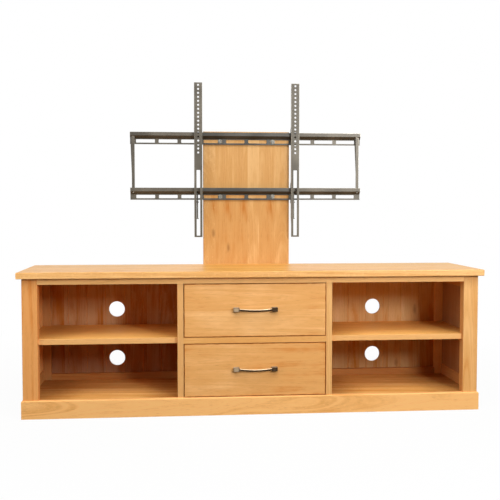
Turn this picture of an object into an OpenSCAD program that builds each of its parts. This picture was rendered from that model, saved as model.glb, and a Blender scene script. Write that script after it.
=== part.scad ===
// Oak television cabinet with a rear pylon and a steel screen bracket, in millimetres.
// X runs along the cabinet, Y from the front to the back, Z up from the floor.
// The origin is on the floor, under the middle of the whole object.

/* [Cabinet] */
// Length of the top board
top_w = 1900; // [1500:10:2200]
// Depth of the top board
top_d = 450; // [400:5:560]
// Thickness of the top board
top_t = 26; // [18:1:35]
// Height of the top surface above the floor
cabinet_h = 588; // [520:1:700]
// How far the top stands past the posts at each end
end_overhang = 18; // [10:1:40]
// How far the top stands past the posts in front
front_overhang = 22; // [14:1:40]
// Rounding of the top board's edges
top_round = 3; // [1:0.5:6]
// Clear width between the two dividers, for the drawers
drawer_bay_w = 584; // [400:2:700]
// Clear height under the shelves
low_bay_h = 220; // [180:1:260]

/* [Frame] */
// Face width of the front posts
post_w = 61; // [50:1:80]
// Depth of the front posts
post_d = 45; // [36:1:60]
// Width of the rear posts
rear_post_w = 55; // [45:1:70]
// Depth of the rear posts
rear_post_d = 32; // [28:1:45]
// Rounding of the posts' long edges
post_round = 2; // [0.5:0.5:4]
// Height of the rail under the top's front edge
front_rail_h = 24; // [20:1:45]
// Depth of the front rails
front_rail_d = 25; // [20:1:36]
// Height of the upper back rail
back_rail_h = 40; // [30:1:70]
// How far the lower back rail shows above the floor board
back_rail_show = 28; // [20:1:50]
// Thickness of the end rails between the posts
end_rail_t = 22; // [18:1:28]
// How far the end rails lie inside the posts' outer faces
end_rail_inset = 2; // [0:0.5:5]
// Height of the upper end rails
end_rail_top_h = 60; // [45:1:90]
// Height of the lower end rails above the floor board
end_rail_low_h = 46; // [30:1:80]
// Length of the rails' tenons
tenon_l = 15; // [8:1:20]
// Thickness of the rails' tenons
tenon_t = 10; // [6:1:12]
// Shoulder at the top and bottom of a tenon
tenon_shoulder = 5; // [3:1:8]

/* [Boards] */
// Thickness of the end panels
end_panel_t = 12; // [8:1:14]
// Depth of the grooves that hold panels
groove_d = 8; // [5:1:10]
// Thickness of the dividers
divider_t = 24; // [20:1:32]
// Thickness of the shelves and of the rail between the drawers
shelf_t = 24; // [18:1:32]
// How far the shelves stay behind the posts' front faces
shelf_setback = 18; // [2:1:20]
// Rounding of the shelves' front edges
shelf_round = 2; // [0.5:0.5:4]
// Depth of the housings that shelves and dividers stand in
housing_d = 7; // [4:1:9]
// Thickness of the floor board
floor_t = 20; // [16:1:25]
// Thickness of the tongues round the floor board
tongue_t = 8; // [5:1:10]
// Depth of the rail between the drawers
drawer_rail_d = 60; // [40:1:90]
// Width of the battens under the shelves' outer ends
cleat_w = 20; // [15:1:30]
// Thickness of the back panels
back_t = 12; // [8:1:15]
// How far the back panels lap over the rails
back_lap = 10; // [6:1:12]
// Width of one board in the back panels
back_board_w = 82; // [60:1:140]
// Depth of the V grooves between the back boards
back_v = 2; // [1:0.5:3]
// Diameter of the cable holes
cable_hole_d = 70; // [40:1:90]
// Height of the lower cable holes above the floor board
low_hole_h = 93; // [60:1:130]
// Height of the upper cable holes above the shelf
high_hole_h = 70; // [60:1:130]
// How far the cable holes lie from the middle of their bays towards the drawers
hole_off = 7; // [0:1:20]

/* [Plinth] */
// Height of the plinth
plinth_h = 74; // [60:1:100]
// Thickness of the plinth boards
plinth_t = 20; // [16:1:24]
// How far the plinth stands proud of the posts
plinth_proud = 6; // [4:0.5:10]
// Chamfer along the plinth's upper edge
plinth_chamfer = 4; // [1:0.5:6]
// Width of the bearers under the floor board
bearer_w = 44; // [30:1:70]

/* [Drawers] */
// Gap round a drawer front
drawer_gap = 3; // [1.5:0.5:4]
// Thickness of a drawer front
drawer_front_t = 22; // [18:1:26]
// Wood left in front of the half-blind dovetails
dovetail_lap = 8; // [5:1:10]
// Thickness of the drawer sides and backs
drawer_side_t = 14; // [12:1:16]
// Thickness of the drawer bottoms
drawer_bottom_t = 6; // [4:1:9]
// Depth of a drawer from its front face to its back face
drawer_d = 388; // [300:2:400]
// How far the drawer sides stop short of the front's lower and upper edges
drawer_side_drop = 12; // [8:1:30]
// Height of a drawer's bottom panel above the lower edge of its sides
drawer_bottom_up = 10; // [8:1:16]
// Number of dovetails at each corner
tail_count = 5; // [3:1:7]
// Rise of a dovetail's flank, run over rise
tail_slope = 7; // [5:1:9]
// Share of a tail's pitch that is tail at its widest
tail_share = 0.68; // [0.55:0.01:0.8]
// Height of the drawer runners
runner_h = 18; // [14:1:22]
// How deep the runners' grooves are in the drawer sides
runner_groove_d = 7; // [5:0.5:8]
// Distance from the carcase front to the runners
runner_start = 34; // [30:1:60]
// Running clearance of everything that slides
slide_gap = 0.4; // [0.3:0.1:1]

/* [Handles] */
// Length of a handle over its feet
handle_w = 180; // [120:1:220]
// Height of a handle above the middle of its drawer front
handle_raise = 3; // [0:1:20]
// Width of a handle's foot
handle_foot_w = 24; // [16:1:30]
// Height of a handle's foot
handle_foot_h = 18; // [12:1:26]
// How far a handle stands out of the drawer front
handle_out = 28; // [22:1:45]
// Height of the bow at its middle
bow_h = 10; // [7:1:14]
// Thickness of the bow
bow_t = 6; // [4:0.5:9]
// How far the bow's middle stands out past its ends
bow_rise = 9; // [5:1:14]

/* [Pylon] */
// Width of the pylon board
pylon_w = 392; // [300:2:500]
// Thickness of the pylon board
pylon_t = 24; // [20:1:32]
// Height of the pylon's upper end above the floor
pylon_top = 1188; // [1000:1:1400]
// Height of the pylon's lower end above the floor
pylon_foot = 60; // [20:1:64]
// Distance between the pylon's bolts along the cabinet
pylon_bolt_x = 280; // [200:2:280]
// Radius of the pylon bolts' shanks
pylon_bolt_r = 4; // [3:0.5:5]

/* [Bracket] */
// Length of the bracket's rails
rail_l = 1046; // [900:2:1200]
// Height of the upper rail's top edge above the floor
rail_top_z = 1183; // [1100:1:1186]
// Distance between the two rails' top edges
rail_pitch = 249; // [180:1:300]
// Thickness of the bracket's sheet steel
steel_t = 2.5; // [1.5:0.5:3]
// Height of a rail's forward lip
lip_h = 15.5; // [14:0.5:24]
// How far the lip stands out from the pylon
lip_out = 14; // [11:0.5:18]
// Height of a rail's slanted web
web_h = 14; // [10:0.5:20]
// Height of a rail's slotted band
band_h = 24.5; // [22:0.5:32]
// Depth of the turned edge under the band
edge_out = 8; // [5:0.5:10]
// Number of slots in a rail
slot_count = 10; // [6:1:10]
// Length of a rail's slots
slot_l = 84; // [60:1:84]
// Height of a rail's slots
slot_h = 15; // [8:0.5:15]
// Steel left between two slots
slot_bridge = 17; // [10:1:17]
// Steel between a slot and the bend above it
slot_margin = 2.5; // [1:0.5:4]
// Distance between the rails' bolts along the rails
rail_bolt_x = 240; // [200:2:330]
// Radius of the rail bolts' shanks
rail_bolt_r = 3; // [2:0.5:4]
// Width of an end bar's face
end_bar_w = 13; // [10:0.5:18]
// Distance from a rail's end to the middle of its end bar
end_bar_inset = 14; // [12:0.5:18]

/* [Arms] */
// Distance between the two arms' middles as shown
arm_x = 438; // [300:2:600]
// Width of an arm
arm_w = 36; // [30:1:44]
// Thickness of an arm's steel
arm_t = 2; // [1.5:0.5:3]
// Length of an arm
arm_l = 690; // [600:2:760]
// Height of the arms' upper ends above the upper rail's top edge
arm_rise = 219; // [160:1:240]
// How far an arm's face stands in front of the pylon
arm_out = 38; // [32:1:50]
// Depth of an arm's flanges away from the hooks
arm_flange_d = 16; // [8:1:17]
// Number of screw holes in an arm
hole_count = 18; // [6:1:18]
// Distance from the first to the last screw hole
hole_span = 300; // [200:10:300]
// Diameter of the screw holes
hole_d = 9; // [6:0.5:12]
// Distance from an arm's upper end to its first hole
hole_start = 11; // [9:1:30]
// Length of an arm's long slot
arm_slot_l = 294; // [150:2:320]
// Width of an arm's long slot
arm_slot_w = 16; // [9:1:20]
// Steel left below an arm's long slot
arm_slot_foot = 7; // [5:1:20]
// Rounding of the long slot's corners
arm_slot_round = 1.5; // [0.5:0.5:4]
// How far an arm's lock screw hangs below the lower rail
lock_hang = 87; // [40:1:120]

/* [Hidden] */

// Colours
oak = "burlywood";
pale_oak = "wheat";
dark_oak = "peru";
steel = "dimgray";
zinc = "silver";
pewter = "darkkhaki";

// Facets of round holes and bars
round_fn = 48;
// Gap between glued pieces, gap round a fastener's shank, and how far a cut runs past a face
glue = 0.2;
hole_gap = 0.1;
through = 1;
// Wood left in front of a bolt's tip, and left beside a stub tenon
bolt_cover = 4;
stub_shoulder = 8;
// How far the low rails reach below the floor board
rail_below = 14;

// Heights of the cabinet
under_top = cabinet_h - top_t;
front_rail_z = under_top - front_rail_h;
back_rail_z = under_top - back_rail_h;
floor_z = plinth_h - floor_t;
shelf_z = plinth_h + low_bay_h;
shelf_top = shelf_z + shelf_t;
low_rail_top = plinth_h + back_rail_show;
low_rail_foot = floor_z - rail_below;
tongue_z = floor_z + (floor_t - tongue_t) / 2;

// Distances along the cabinet, from the middle to the right end
post_out = top_w / 2 - end_overhang;
post_in = post_out - post_w;
rear_post_in = post_out - rear_post_w;
end_rail_out = post_out - end_rail_inset;
end_rail_in = end_rail_out - end_rail_t;
end_panel_in = end_rail_in + (end_rail_t - end_panel_t) / 2;
divider_in = drawer_bay_w / 2;
divider_out = divider_in + divider_t;
divider_mid = (divider_in + divider_out) / 2;
plinth_out = post_out + plinth_proud;
foot_out = plinth_out - plinth_t;
hole_x = (divider_out + post_in) / 2 - hole_off;

// Distances from the posts' front faces to the back
carcase_d = top_d - front_overhang;
rear_post_y = carcase_d - rear_post_d;
back_y = carcase_d - back_t;
foot_y = plinth_t - plinth_proud;
front_tenon_y = (front_rail_d - tenon_t) / 2;
back_tenon_y = rear_post_y + tenon_shoulder;
panel_y = [post_d, rear_post_y];
drawer_rail_y = [0, drawer_rail_d];

// Heights of the end rails, the back rails and the back panels lapped over them
end_top_z = [under_top - end_rail_top_h, under_top];
end_low_z = [low_rail_foot, plinth_h + end_rail_low_h];
back_top_z = [back_rail_z, under_top];
back_low_z = [low_rail_foot, low_rail_top];
back_panel_z = [low_rail_top - back_lap, back_rail_z + back_lap];

// Bolt heads and washers, and the middle of the whole object in depth
pylon_head_r = 8;
pylon_head_t = 5;
rail_head_t = 4;
washer_t = 1.5;
washer_rim = 2;
pylon_back = carcase_d + pylon_t;
mid_y = (pylon_back + washer_t + pylon_head_t - handle_out) / 2;

// Drawer sizes
drawer_x = drawer_bay_w / 2 - drawer_gap;
socket_d = drawer_front_t - dovetail_lap;
bottom_groove_d = 6;
// How far a runner's groove starts in front of the runner
groove_start = 4;
low_front = [plinth_h + drawer_gap, shelf_z - drawer_gap];
high_front = [shelf_top + drawer_gap, front_rail_z - drawer_gap];

// Bracket heights and the pylon's face
rail_h = lip_h + web_h + band_h;
low_rail_z = rail_top_z - rail_pitch;
slot_pitch = slot_l + slot_bridge;
slot_mid = band_h - slot_margin - slot_h / 2;
arm_top = rail_top_z + arm_rise;

// Helpers

// Rounded corner from angle a to angle b, as points
function corner(x, y, r, a, b, n = 4) =
    [for (i = [0 : n]) [x + r * cos(a + (b - a) * i / n), y + r * sin(a + (b - a) * i / n)]];

// Outline of a rectangle with round corners
function round_rect(x, y, r) = concat(
    corner(x[1] - r, y[1] - r, r, 0, 90),
    corner(x[0] + r, y[1] - r, r, 90, 180),
    corner(x[0] + r, y[0] + r, r, 180, 270),
    corner(x[1] - r, y[0] + r, r, 270, 360));

// A range made wider by g at both ends
function wider(a, g) = [a[0] - g, a[1] + g];

// Block between ranges of x, y and z
module block(x, y, z) {
    translate([x[0], y[0], z[0]]) cube([x[1] - x[0], y[1] - y[0], z[1] - z[0]]);
}

// Outline in (y, z) drawn out along x
module along_x(x) {
    translate([x[0], 0, 0]) rotate([90, 0, 90]) linear_extrude(x[1] - x[0]) children();
}

// Outline in (x, z) drawn out along y
module along_y(y) {
    translate([0, y[1], 0]) rotate([90, 0, 0]) linear_extrude(y[1] - y[0]) children();
}

// Outline in (x, y) drawn out along z
module along_z(z) {
    translate([0, 0, z[0]]) linear_extrude(z[1] - z[0]) children();
}

// Round bar along y
module rod_y(x, y, z, r) {
    translate([x, y[1], z]) rotate([90, 0, 0]) cylinder(h = y[1] - y[0], r = r, $fn = round_fn);
}

// Moves a piece from the post-front frame to the object's own frame
module placed() {
    translate([0, -mid_y, 0]) children();
}

// The same piece on the right (side 1) or mirrored to the left (side -1)
module on_side(side) {
    placed() mirror([side < 0 ? 1 : 0, 0, 0]) children();
}

// Cabinet

module top_board() {
    x = [-top_w / 2, top_w / 2];
    y = [-front_overhang, carcase_d];
    z = [under_top, cabinet_h];
    color(pale_oak) placed() intersection() {
        along_x(x) polygon(round_rect(y, z, top_round));
        along_y(y) polygon(round_rect(x, z, top_round));
    }
}

// Tenon or, made wider by the glue gap, its mortise on an end rail's two ends
module end_rail_tenons(z, g) {
    x = [end_rail_in + (end_rail_t - tenon_t) / 2, end_rail_in + (end_rail_t + tenon_t) / 2];
    block(wider(x, g), [post_d - tenon_l - g, rear_post_y + tenon_l + g],
        wider([z[0] + tenon_shoulder, z[1] - tenon_shoulder], g));
}

// Room for an end panel in the posts' and rails' grooves
module end_panel_room(g) {
    block(wider([end_panel_in, end_panel_in + end_panel_t], g),
        wider([panel_y[0] - groove_d, panel_y[1] + groove_d], g),
        [end_low_z[1] - groove_d, end_top_z[0] + groove_d]);
}

// Stub tenon of a shelf in the front post's inner face
module shelf_tenon(g) {
    block(wider([post_in - through, post_in + housing_d], g),
        wider([shelf_setback, post_d], g - stub_shoulder / 2),
        wider([shelf_z + tenon_shoulder, shelf_top - tenon_shoulder], g));
}

// Tenon of a rail between the front posts or between the dividers
module rail_tenon(x, y, z, g) {
    block(wider(x, g), wider(y, g),
        wider([z[0] + tenon_shoulder, z[1] - tenon_shoulder], g));
}

module front_post(side) {
    z = [0, under_top];
    color(oak) on_side(side) difference() {
        along_z(z) polygon(round_rect([post_in, post_out], [0, post_d], post_round));
        block([post_in - through, post_out + through], [-through, foot_y], [-through, plinth_h]);
        block([foot_out, post_out + through], [-through, post_d + through], [-through, plinth_h]);
        rail_tenon([post_in - through, post_in + tenon_l],
            [front_tenon_y, front_tenon_y + tenon_t], [front_rail_z, under_top], glue);
        end_rail_tenons(end_top_z, glue);
        end_rail_tenons(end_low_z, glue);
        end_panel_room(glue);
        shelf_tenon(glue);
    }
}

// Tenon of a back rail in the rear post
module back_rail_tenon(z, g) {
    rail_tenon([rear_post_in - through, rear_post_in + tenon_l],
        [back_tenon_y, back_tenon_y + tenon_t], z, g);
}

// Rebate for the back panels, seen from behind
module back_rebate() {
    x = rear_post_in + back_lap;
    block([-x, x], [back_y, carcase_d + through], back_panel_z);
}

module rear_post(side) {
    color(oak) on_side(side) difference() {
        along_z([0, under_top])
            polygon(round_rect([rear_post_in, post_out], [rear_post_y, carcase_d], post_round));
        block([foot_out, post_out + through], [rear_post_y - through, carcase_d + through],
            [-through, plinth_h]);
        end_rail_tenons(end_top_z, glue);
        end_rail_tenons(end_low_z, glue);
        end_panel_room(glue);
        back_rail_tenon(back_top_z, glue);
        back_rail_tenon(back_low_z, glue);
        back_rebate();
    }
}

module side_panel(side) {
    z = [end_low_z[1] - groove_d, end_top_z[0] + groove_d];
    color(oak) on_side(side) block([end_panel_in, end_panel_in + end_panel_t],
        [panel_y[0] - groove_d, panel_y[1] + groove_d], wider(z, -glue));
}

module side_top_rail(side) {
    color(oak) on_side(side) difference() {
        union() {
            block([end_rail_in, end_rail_out], wider(panel_y, -glue), end_top_z);
            end_rail_tenons(end_top_z, 0);
        }
        end_panel_room(glue);
    }
}

module side_bottom_rail(side) {
    color(oak) on_side(side) difference() {
        union() {
            block([end_rail_in, end_rail_out], wider(panel_y, -glue), end_low_z);
            end_rail_tenons(end_low_z, 0);
        }
        end_panel_room(glue);
        block([foot_out - glue, end_rail_out + through], [0, carcase_d], [0, plinth_h + glue]);
        block([end_rail_in - through, end_rail_in + groove_d], wider(panel_y, through),
            wider([tongue_z, tongue_z + tongue_t], glue));
    }
}

module front_top_rail() {
    z = [front_rail_z, under_top];
    y = [front_tenon_y, front_tenon_y + tenon_t];
    color(oak) placed() {
        block([-post_in + glue, post_in - glue], [0, front_rail_d], z);
        rail_tenon([-post_in - tenon_l, post_in + tenon_l], y, z, 0);
    }
}

module back_rail(z) {
    y = [back_tenon_y, back_tenon_y + tenon_t];
    block([-rear_post_in + glue, rear_post_in - glue], [rear_post_y, carcase_d], z);
    rail_tenon([-rear_post_in - tenon_l, rear_post_in + tenon_l], y, z, 0);
}

module back_top_rail() {
    color(oak) placed() difference() {
        back_rail(back_top_z);
        back_rebate();
        pylon_bolt_holes(hole_gap);
    }
}

module back_bottom_rail() {
    color(oak) placed() difference() {
        back_rail(back_low_z);
        back_rebate();
        pylon_bolt_holes(hole_gap);
        block(wider([-rear_post_in, rear_post_in], through),
            [rear_post_y - through, rear_post_y + groove_d],
            wider([tongue_z, tongue_z + tongue_t], glue));
    }
}

module divider(side) {
    x = [divider_in, divider_out];
    color(oak) on_side(side) difference() {
        union() {
            block(x, [0, back_y - glue], [plinth_h, under_top]);
            block(x, [foot_y + glue, rear_post_y - glue], [plinth_h - housing_d, plinth_h]);
        }
        block(wider(x, through), [-through, front_rail_d + glue],
            [front_rail_z - glue, under_top + through]);
        block(wider(x, through), [rear_post_y - glue, back_y + through],
            [back_rail_z - glue, under_top + through]);
        block(wider(x, through), [rear_post_y - glue, back_y + through],
            [plinth_h - through, low_rail_top + glue]);
        block([divider_out - housing_d, divider_out + through],
            [shelf_setback - glue, back_y + through], wider([shelf_z, shelf_top], glue));
        rail_tenon([divider_in - through, divider_in + housing_d],
            wider(drawer_rail_y, -stub_shoulder), [shelf_z, shelf_top], glue);
    }
}

module bottom_board() {
    x = end_rail_in - glue;
    z = [floor_z, plinth_h];
    y = [foot_y + glue, rear_post_y - glue];
    tongue = [tongue_z, tongue_z + tongue_t];
    color(oak) placed() difference() {
        union() {
            block([-x, x], y, z);
            block([-x - groove_d, x + groove_d], [post_d + glue, rear_post_y - glue], tongue);
            block([-rear_post_in + glue, rear_post_in - glue],
                [y[0], rear_post_y + groove_d - glue], tongue);
            block([-post_in + glue, post_in - glue], [foot_y - groove_d + glue, y[1]], tongue);
        }
        for (side = [-1, 1]) mirror([side < 0 ? 1 : 0, 0, 0]) {
            block([post_in - glue, x + groove_d + through], [-through, post_d + glue],
                wider(z, through));
            block(wider([divider_in, divider_out], glue), [0, rear_post_y],
                [plinth_h - housing_d - glue, plinth_h + through]);
        }
    }
}

module shelf(side) {
    x = divider_out - housing_d;
    y = shelf_setback;
    z = [shelf_z, shelf_top];
    color(oak) on_side(side) {
        intersection() {
            along_z(z) polygon([
                [x, y], [post_in - glue, y], [post_in - glue, post_d + glue],
                [end_panel_in - glue, post_d + glue], [end_panel_in - glue, rear_post_y - glue],
                [rear_post_in - glue, rear_post_y - glue], [rear_post_in - glue, back_y - glue],
                [x, back_y - glue]]);
            along_x([x, post_out]) polygon(round_rect([y, carcase_d], z, shelf_round));
        }
        shelf_tenon(-glue);
    }
}

module shelf_cleat(side) {
    color(oak) on_side(side) block([end_panel_in - cleat_w, end_panel_in],
        wider(panel_y, -glue), [shelf_z - cleat_w, shelf_z]);
}

// Back panel between two distances from the middle, with V grooves between its boards
module back_boards(x) {
    n = max(1, round((x[1] - x[0]) / back_board_w));
    w = (x[1] - x[0]) / n;
    difference() {
        block(x, [back_y, carcase_d], wider(back_panel_z, -glue));
        if (n > 1) for (i = [1 : n - 1]) translate([x[0] + i * w, back_y, 0])
            along_z([0, cabinet_h]) polygon([[-back_v, -back_v], [back_v, -back_v],
                [back_v, 0], [0, back_v], [-back_v, 0]]);
    }
}

module back_panel(side) {
    color(dark_oak) on_side(side) difference() {
        back_boards([divider_mid + glue / 2, rear_post_in + back_lap - glue]);
        for (z = [plinth_h + low_hole_h, shelf_top + high_hole_h])
            rod_y(hole_x, [back_y - through, carcase_d + through], z, cable_hole_d / 2);
    }
}

module back_panel_centre() {
    x = divider_mid - glue / 2;
    color(dark_oak) placed() back_boards([-x, x]);
}

module drawer_rail() {
    x = divider_in - glue;
    color(oak) placed() {
        block([-x, x], drawer_rail_y, [shelf_z, shelf_top]);
        rail_tenon([-divider_in - housing_d + glue, divider_in + housing_d - glue],
            wider(drawer_rail_y, -stub_shoulder), [shelf_z, shelf_top], 0);
    }
}

// Middle height of a drawer's runners, from the range of its front
function runner_mid(front) = (front[0] + front[1]) / 2;

module runner(front, side) {
    z = runner_mid(front);
    color(pale_oak) on_side(side)
        block([drawer_x - runner_groove_d + slide_gap, divider_in],
            [runner_start, rear_post_y - glue], [z - runner_h / 2, z + runner_h / 2]);
}

// Plinth

plinth_plan = [[-plinth_out, -plinth_proud], [plinth_out, -plinth_proud],
    [foot_out, foot_y], [-foot_out, foot_y]];

// Section of a plinth board, its face at 0 and its back at the board's thickness
plinth_section = [[0, 0], [plinth_t, 0], [plinth_t, plinth_h], [plinth_chamfer, plinth_h],
    [0, plinth_h - plinth_chamfer]];

module plinth_front() {
    color(oak) placed() difference() {
        intersection() {
            translate([0, -plinth_proud, 0]) along_x([-plinth_out, plinth_out])
                polygon(plinth_section);
            along_z([0, plinth_h]) polygon(plinth_plan);
        }
        block([-post_in, post_in], [foot_y - groove_d, foot_y + through],
            wider([tongue_z, tongue_z + tongue_t], glue));
    }
}

module plinth_side(side) {
    y = [-plinth_proud, carcase_d];
    color(oak) on_side(side) intersection() {
        translate([plinth_out, 0, 0]) mirror([1, 0, 0]) along_y(y) polygon(plinth_section);
        along_z([0, plinth_h]) polygon([[plinth_out, y[0]], [plinth_out, y[1]],
            [foot_out, y[1]], [foot_out, foot_y]]);
    }
}

module base_bearer(side) {
    color(oak) on_side(side) block([divider_mid - bearer_w / 2, divider_mid + bearer_w / 2],
        [foot_y, rear_post_y], [0, floor_z]);
}

// Pylon

// Heights of the pylon's bolts, at the middles of the two back rails
pylon_bolt_zs = [(pylon_foot + back_panel_z[0]) / 2, (back_panel_z[1] + under_top) / 2];
pylon_bolt_y = rear_post_y + bolt_cover;

module pylon_bolt_holes(g) {
    for (x = [-pylon_bolt_x / 2, pylon_bolt_x / 2], z = pylon_bolt_zs)
        rod_y(x, [pylon_bolt_y - g, pylon_back + through], z, pylon_bolt_r + g);
}

module pylon_board() {
    x = [-pylon_w / 2, pylon_w / 2];
    color(oak) placed() difference() {
        along_z([pylon_foot, pylon_top])
            polygon(round_rect(x, [carcase_d, pylon_back], top_round));
        pylon_bolt_holes(hole_gap);
        rail_bolt_holes(hole_gap);
    }
}

// Bolt along y: shank behind face_y, washer and six-sided head on it, dir -1 for the front
module bolt(x, z, face_y, dir, r, length, head_r, head_t) {
    translate([x, face_y, z]) rotate([dir < 0 ? 90 : -90, 0, 0]) {
        translate([0, 0, -length]) cylinder(h = length, r = r, $fn = round_fn);
        cylinder(h = washer_t, r = head_r + washer_rim, $fn = round_fn);
        translate([0, 0, washer_t]) cylinder(h = head_t, r = head_r, $fn = 6);
    }
}

module pylon_bolts() {
    color(zinc) placed()
        for (x = [-pylon_bolt_x / 2, pylon_bolt_x / 2], z = pylon_bolt_zs)
            bolt(x, z, pylon_back, 1, pylon_bolt_r, pylon_back - pylon_bolt_y,
                pylon_head_r, pylon_head_t);
}

// Bracket

// Height of the slanted web's rear face above its front face, measured upright
web_lift = steel_t * (sqrt(lip_out * lip_out + web_h * web_h) - web_h) / lip_out;

// Section of a folded rail: first number is how far out of the pylon, second the height
rail_section = [[0, 0], [edge_out, 0], [edge_out, steel_t], [steel_t, steel_t],
    [steel_t, band_h], [lip_out + steel_t, band_h + web_h], [lip_out + steel_t, rail_h],
    [lip_out, rail_h], [lip_out, band_h + web_h + web_lift], [0, band_h + web_lift]];

// Turns (out, height) into the (y, z) of a piece at height z in front of the pylon
function on_pylon(points, z) = [for (p = points) [carcase_d - p[0], z + p[1]]];

module bracket_rail(z) {
    color(steel) placed() difference() {
        along_x([-rail_l / 2, rail_l / 2]) polygon(on_pylon(rail_section, z));
        for (i = [0 : slot_count - 1]) {
            x = (i - (slot_count - 1) / 2) * slot_pitch;
            along_y([carcase_d - steel_t - through, carcase_d + through])
                polygon(round_rect([x - slot_l / 2, x + slot_l / 2],
                    [z + slot_mid - slot_h / 2, z + slot_mid + slot_h / 2], 3));
        }
        end_screw_shanks(hole_gap);
    }
}

// Heights of the two rails' lower edges, and the rail bolts' length
rail_zs = [rail_top_z - rail_h, low_rail_z - rail_h];
rail_bolt_l = steel_t + pylon_t - bolt_cover;

module rail_bolt_holes(g) {
    for (x = [-rail_bolt_x / 2, rail_bolt_x / 2], z = rail_zs)
        rod_y(x, [carcase_d - through, carcase_d - steel_t + rail_bolt_l + g], z + slot_mid,
            rail_bolt_r + g);
}

module rail_bolts() {
    color(zinc) placed()
        for (x = [-rail_bolt_x / 2, rail_bolt_x / 2], z = rail_zs)
            bolt(x, z + slot_mid, carcase_d - steel_t, -1, rail_bolt_r, rail_bolt_l,
                slot_h / 2, rail_head_t);
}

// End bar: a face strip right behind the lips, and a slanted flange back to the upper band
bar_x = rail_l / 2 - end_bar_inset;
bar_front = lip_out - glue;
bar_back = bar_front - steel_t;
// Width of the flange in front view, and how near it and the foot come to the pylon's face
flange_w = 5;
flange_back = edge_out + glue;
foot_back = steel_t + glue;
// Share of the bar's length that the flange runs, and height of the foot's bend
flange_share = 0.55;
foot_bend = 6;

// Height above a rail's foot at which its web's front or rear face is out by u
function web_front(u) = band_h + (u - steel_t) * web_h / lip_out;
function web_rear(u) = band_h + web_lift + u * web_h / lip_out;

module end_bar_section() {
    w = end_bar_w / 2;
    polygon([for (p = [[w, bar_front], [w, bar_back], [-w, bar_back],
        [-w - flange_w + steel_t, flange_back], [-w - flange_w, flange_back], [-w, bar_front]])
        [p[0], carcase_d - p[1]]]);
}

module end_bar(side) {
    high = rail_zs[0];
    low = rail_zs[1];
    y = carcase_d;
    foot_z = low + web_rear(bar_front) + glue;
    taper_z = high - (high - low) * flange_share;
    flange_top = high - steel_t;
    color(steel) placed() translate([side * bar_x, 0, 0]) difference() {
        union() {
            along_z([foot_z, high + rail_h]) end_bar_section();
            // Foot, bent back to lie on the lower rail's web
            along_x([-end_bar_w / 2, end_bar_w / 2]) polygon(on_pylon([
                [bar_front, web_rear(bar_front) + glue],
                [bar_front, web_rear(bar_front) + foot_bend],
                [bar_back, web_rear(bar_front) + foot_bend],
                [foot_back, web_rear(foot_back) + steel_t + through],
                [foot_back, web_rear(foot_back) + glue]], low));
        }
        // Upper end, cut to lie under the upper rail's web
        along_x([-end_bar_w - flange_w, end_bar_w]) polygon(on_pylon([
            [-through, web_front(-through) - glue],
            [lip_out + through, web_front(lip_out + through) - glue],
            [lip_out + through, rail_h + through], [-through, rail_h + through]], high));
        // Flange, tapered away down the bar
        along_x([-end_bar_w - flange_w, -end_bar_w / 2]) polygon([
            [y + through, flange_top], [y - flange_back, flange_top],
            [y - bar_front, taper_z], [y - bar_front - through, taper_z],
            [y - bar_front - through, foot_z - through], [y + through, foot_z - through]]);
        end_screw_shank(0, hole_gap);
    }
}

// Screws square to the lower rail's web, from below, into the end bars' feet
web_angle = atan2(web_h, lip_out);
end_screw_r = 2;
end_screw_l = 9;
end_head_r = 4.5;
end_head_t = 2.5;
end_dome_r = (end_head_r * end_head_r + end_head_t * end_head_t) / (2 * end_head_t);

module end_screw_at(x) {
    out = lip_out / 2 + steel_t;
    translate([x, carcase_d - out, rail_zs[1] + web_front(out)]) rotate([90 + web_angle, 0, 0])
        children();
}

module end_screw_shank(x, g) {
    end_screw_at(x) translate([0, 0, -end_screw_l])
        cylinder(h = end_screw_l + end_head_t / 2, r = end_screw_r + g, $fn = round_fn);
}

module end_screw_shanks(g) {
    for (side = [-1, 1]) end_screw_shank(side * bar_x, g);
}

module end_bar_screws() {
    color(zinc) placed() for (side = [-1, 1]) {
        end_screw_shank(side * bar_x, 0);
        end_screw_at(side * bar_x) intersection() {
            cylinder(h = end_head_t, r = end_head_r, $fn = round_fn);
            translate([0, 0, end_head_t - end_dome_r]) sphere(r = end_dome_r, $fn = round_fn);
        }
    }
}

// Drawers

// Trapezoids of a row of tails from z[0] up: root at 0, tip at len, wider by g all round
function tail(i, z, len, g) =
    let (pitch = (z[1] - z[0]) / tail_count, mid = z[0] + (i + 0.5) * pitch,
        tip = pitch * tail_share / 2 + g, root = tip - (len + g) / tail_slope)
    [[0, mid - root], [len + g, mid - tip], [len + g, mid + tip], [0, mid + root]];

// Range of the drawer sides' height, from the range of the front
function side_z(front) = [front[0] + drawer_side_drop, front[1] - drawer_side_drop];

function drawer_bottom_z(front) = side_z(front)[0] + drawer_bottom_up;

// Tails at both ends of a drawer side, or their sockets with a gap
module tails(front, g) {
    z = side_z(front);
    x = [drawer_x - drawer_side_t - g, drawer_x + g];
    for (i = [0 : tail_count - 1]) {
        along_x(x) translate([drawer_front_t, 0]) mirror([1, 0]) polygon(tail(i, z, socket_d, g));
        along_x(x) translate([drawer_d - drawer_side_t, 0])
            polygon(tail(i, z, drawer_side_t, g));
    }
}

// Groove for the runner, from behind, through the side and the back's end
module runner_groove(front) {
    z = runner_mid(front);
    block([drawer_x - runner_groove_d, drawer_x + through],
        [runner_start - groove_start, drawer_d + through],
        wider([z - runner_h / 2, z + runner_h / 2], slide_gap));
}

// Bottom panel, or the groove that holds it
module bottom_room(front, g) {
    x = drawer_x - drawer_side_t + bottom_groove_d + g - glue;
    z = drawer_bottom_z(front);
    block([-x, x], [drawer_front_t - bottom_groove_d - g, drawer_d + (g > 0 ? through : 0)],
        wider([z, z + drawer_bottom_t], g));
}

handle_foot_x = handle_w / 2 - handle_foot_w / 2;
handle_screw_r = 2;
handle_screw_in = 8;

function handle_z(front) = runner_mid(front) + handle_raise;

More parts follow.
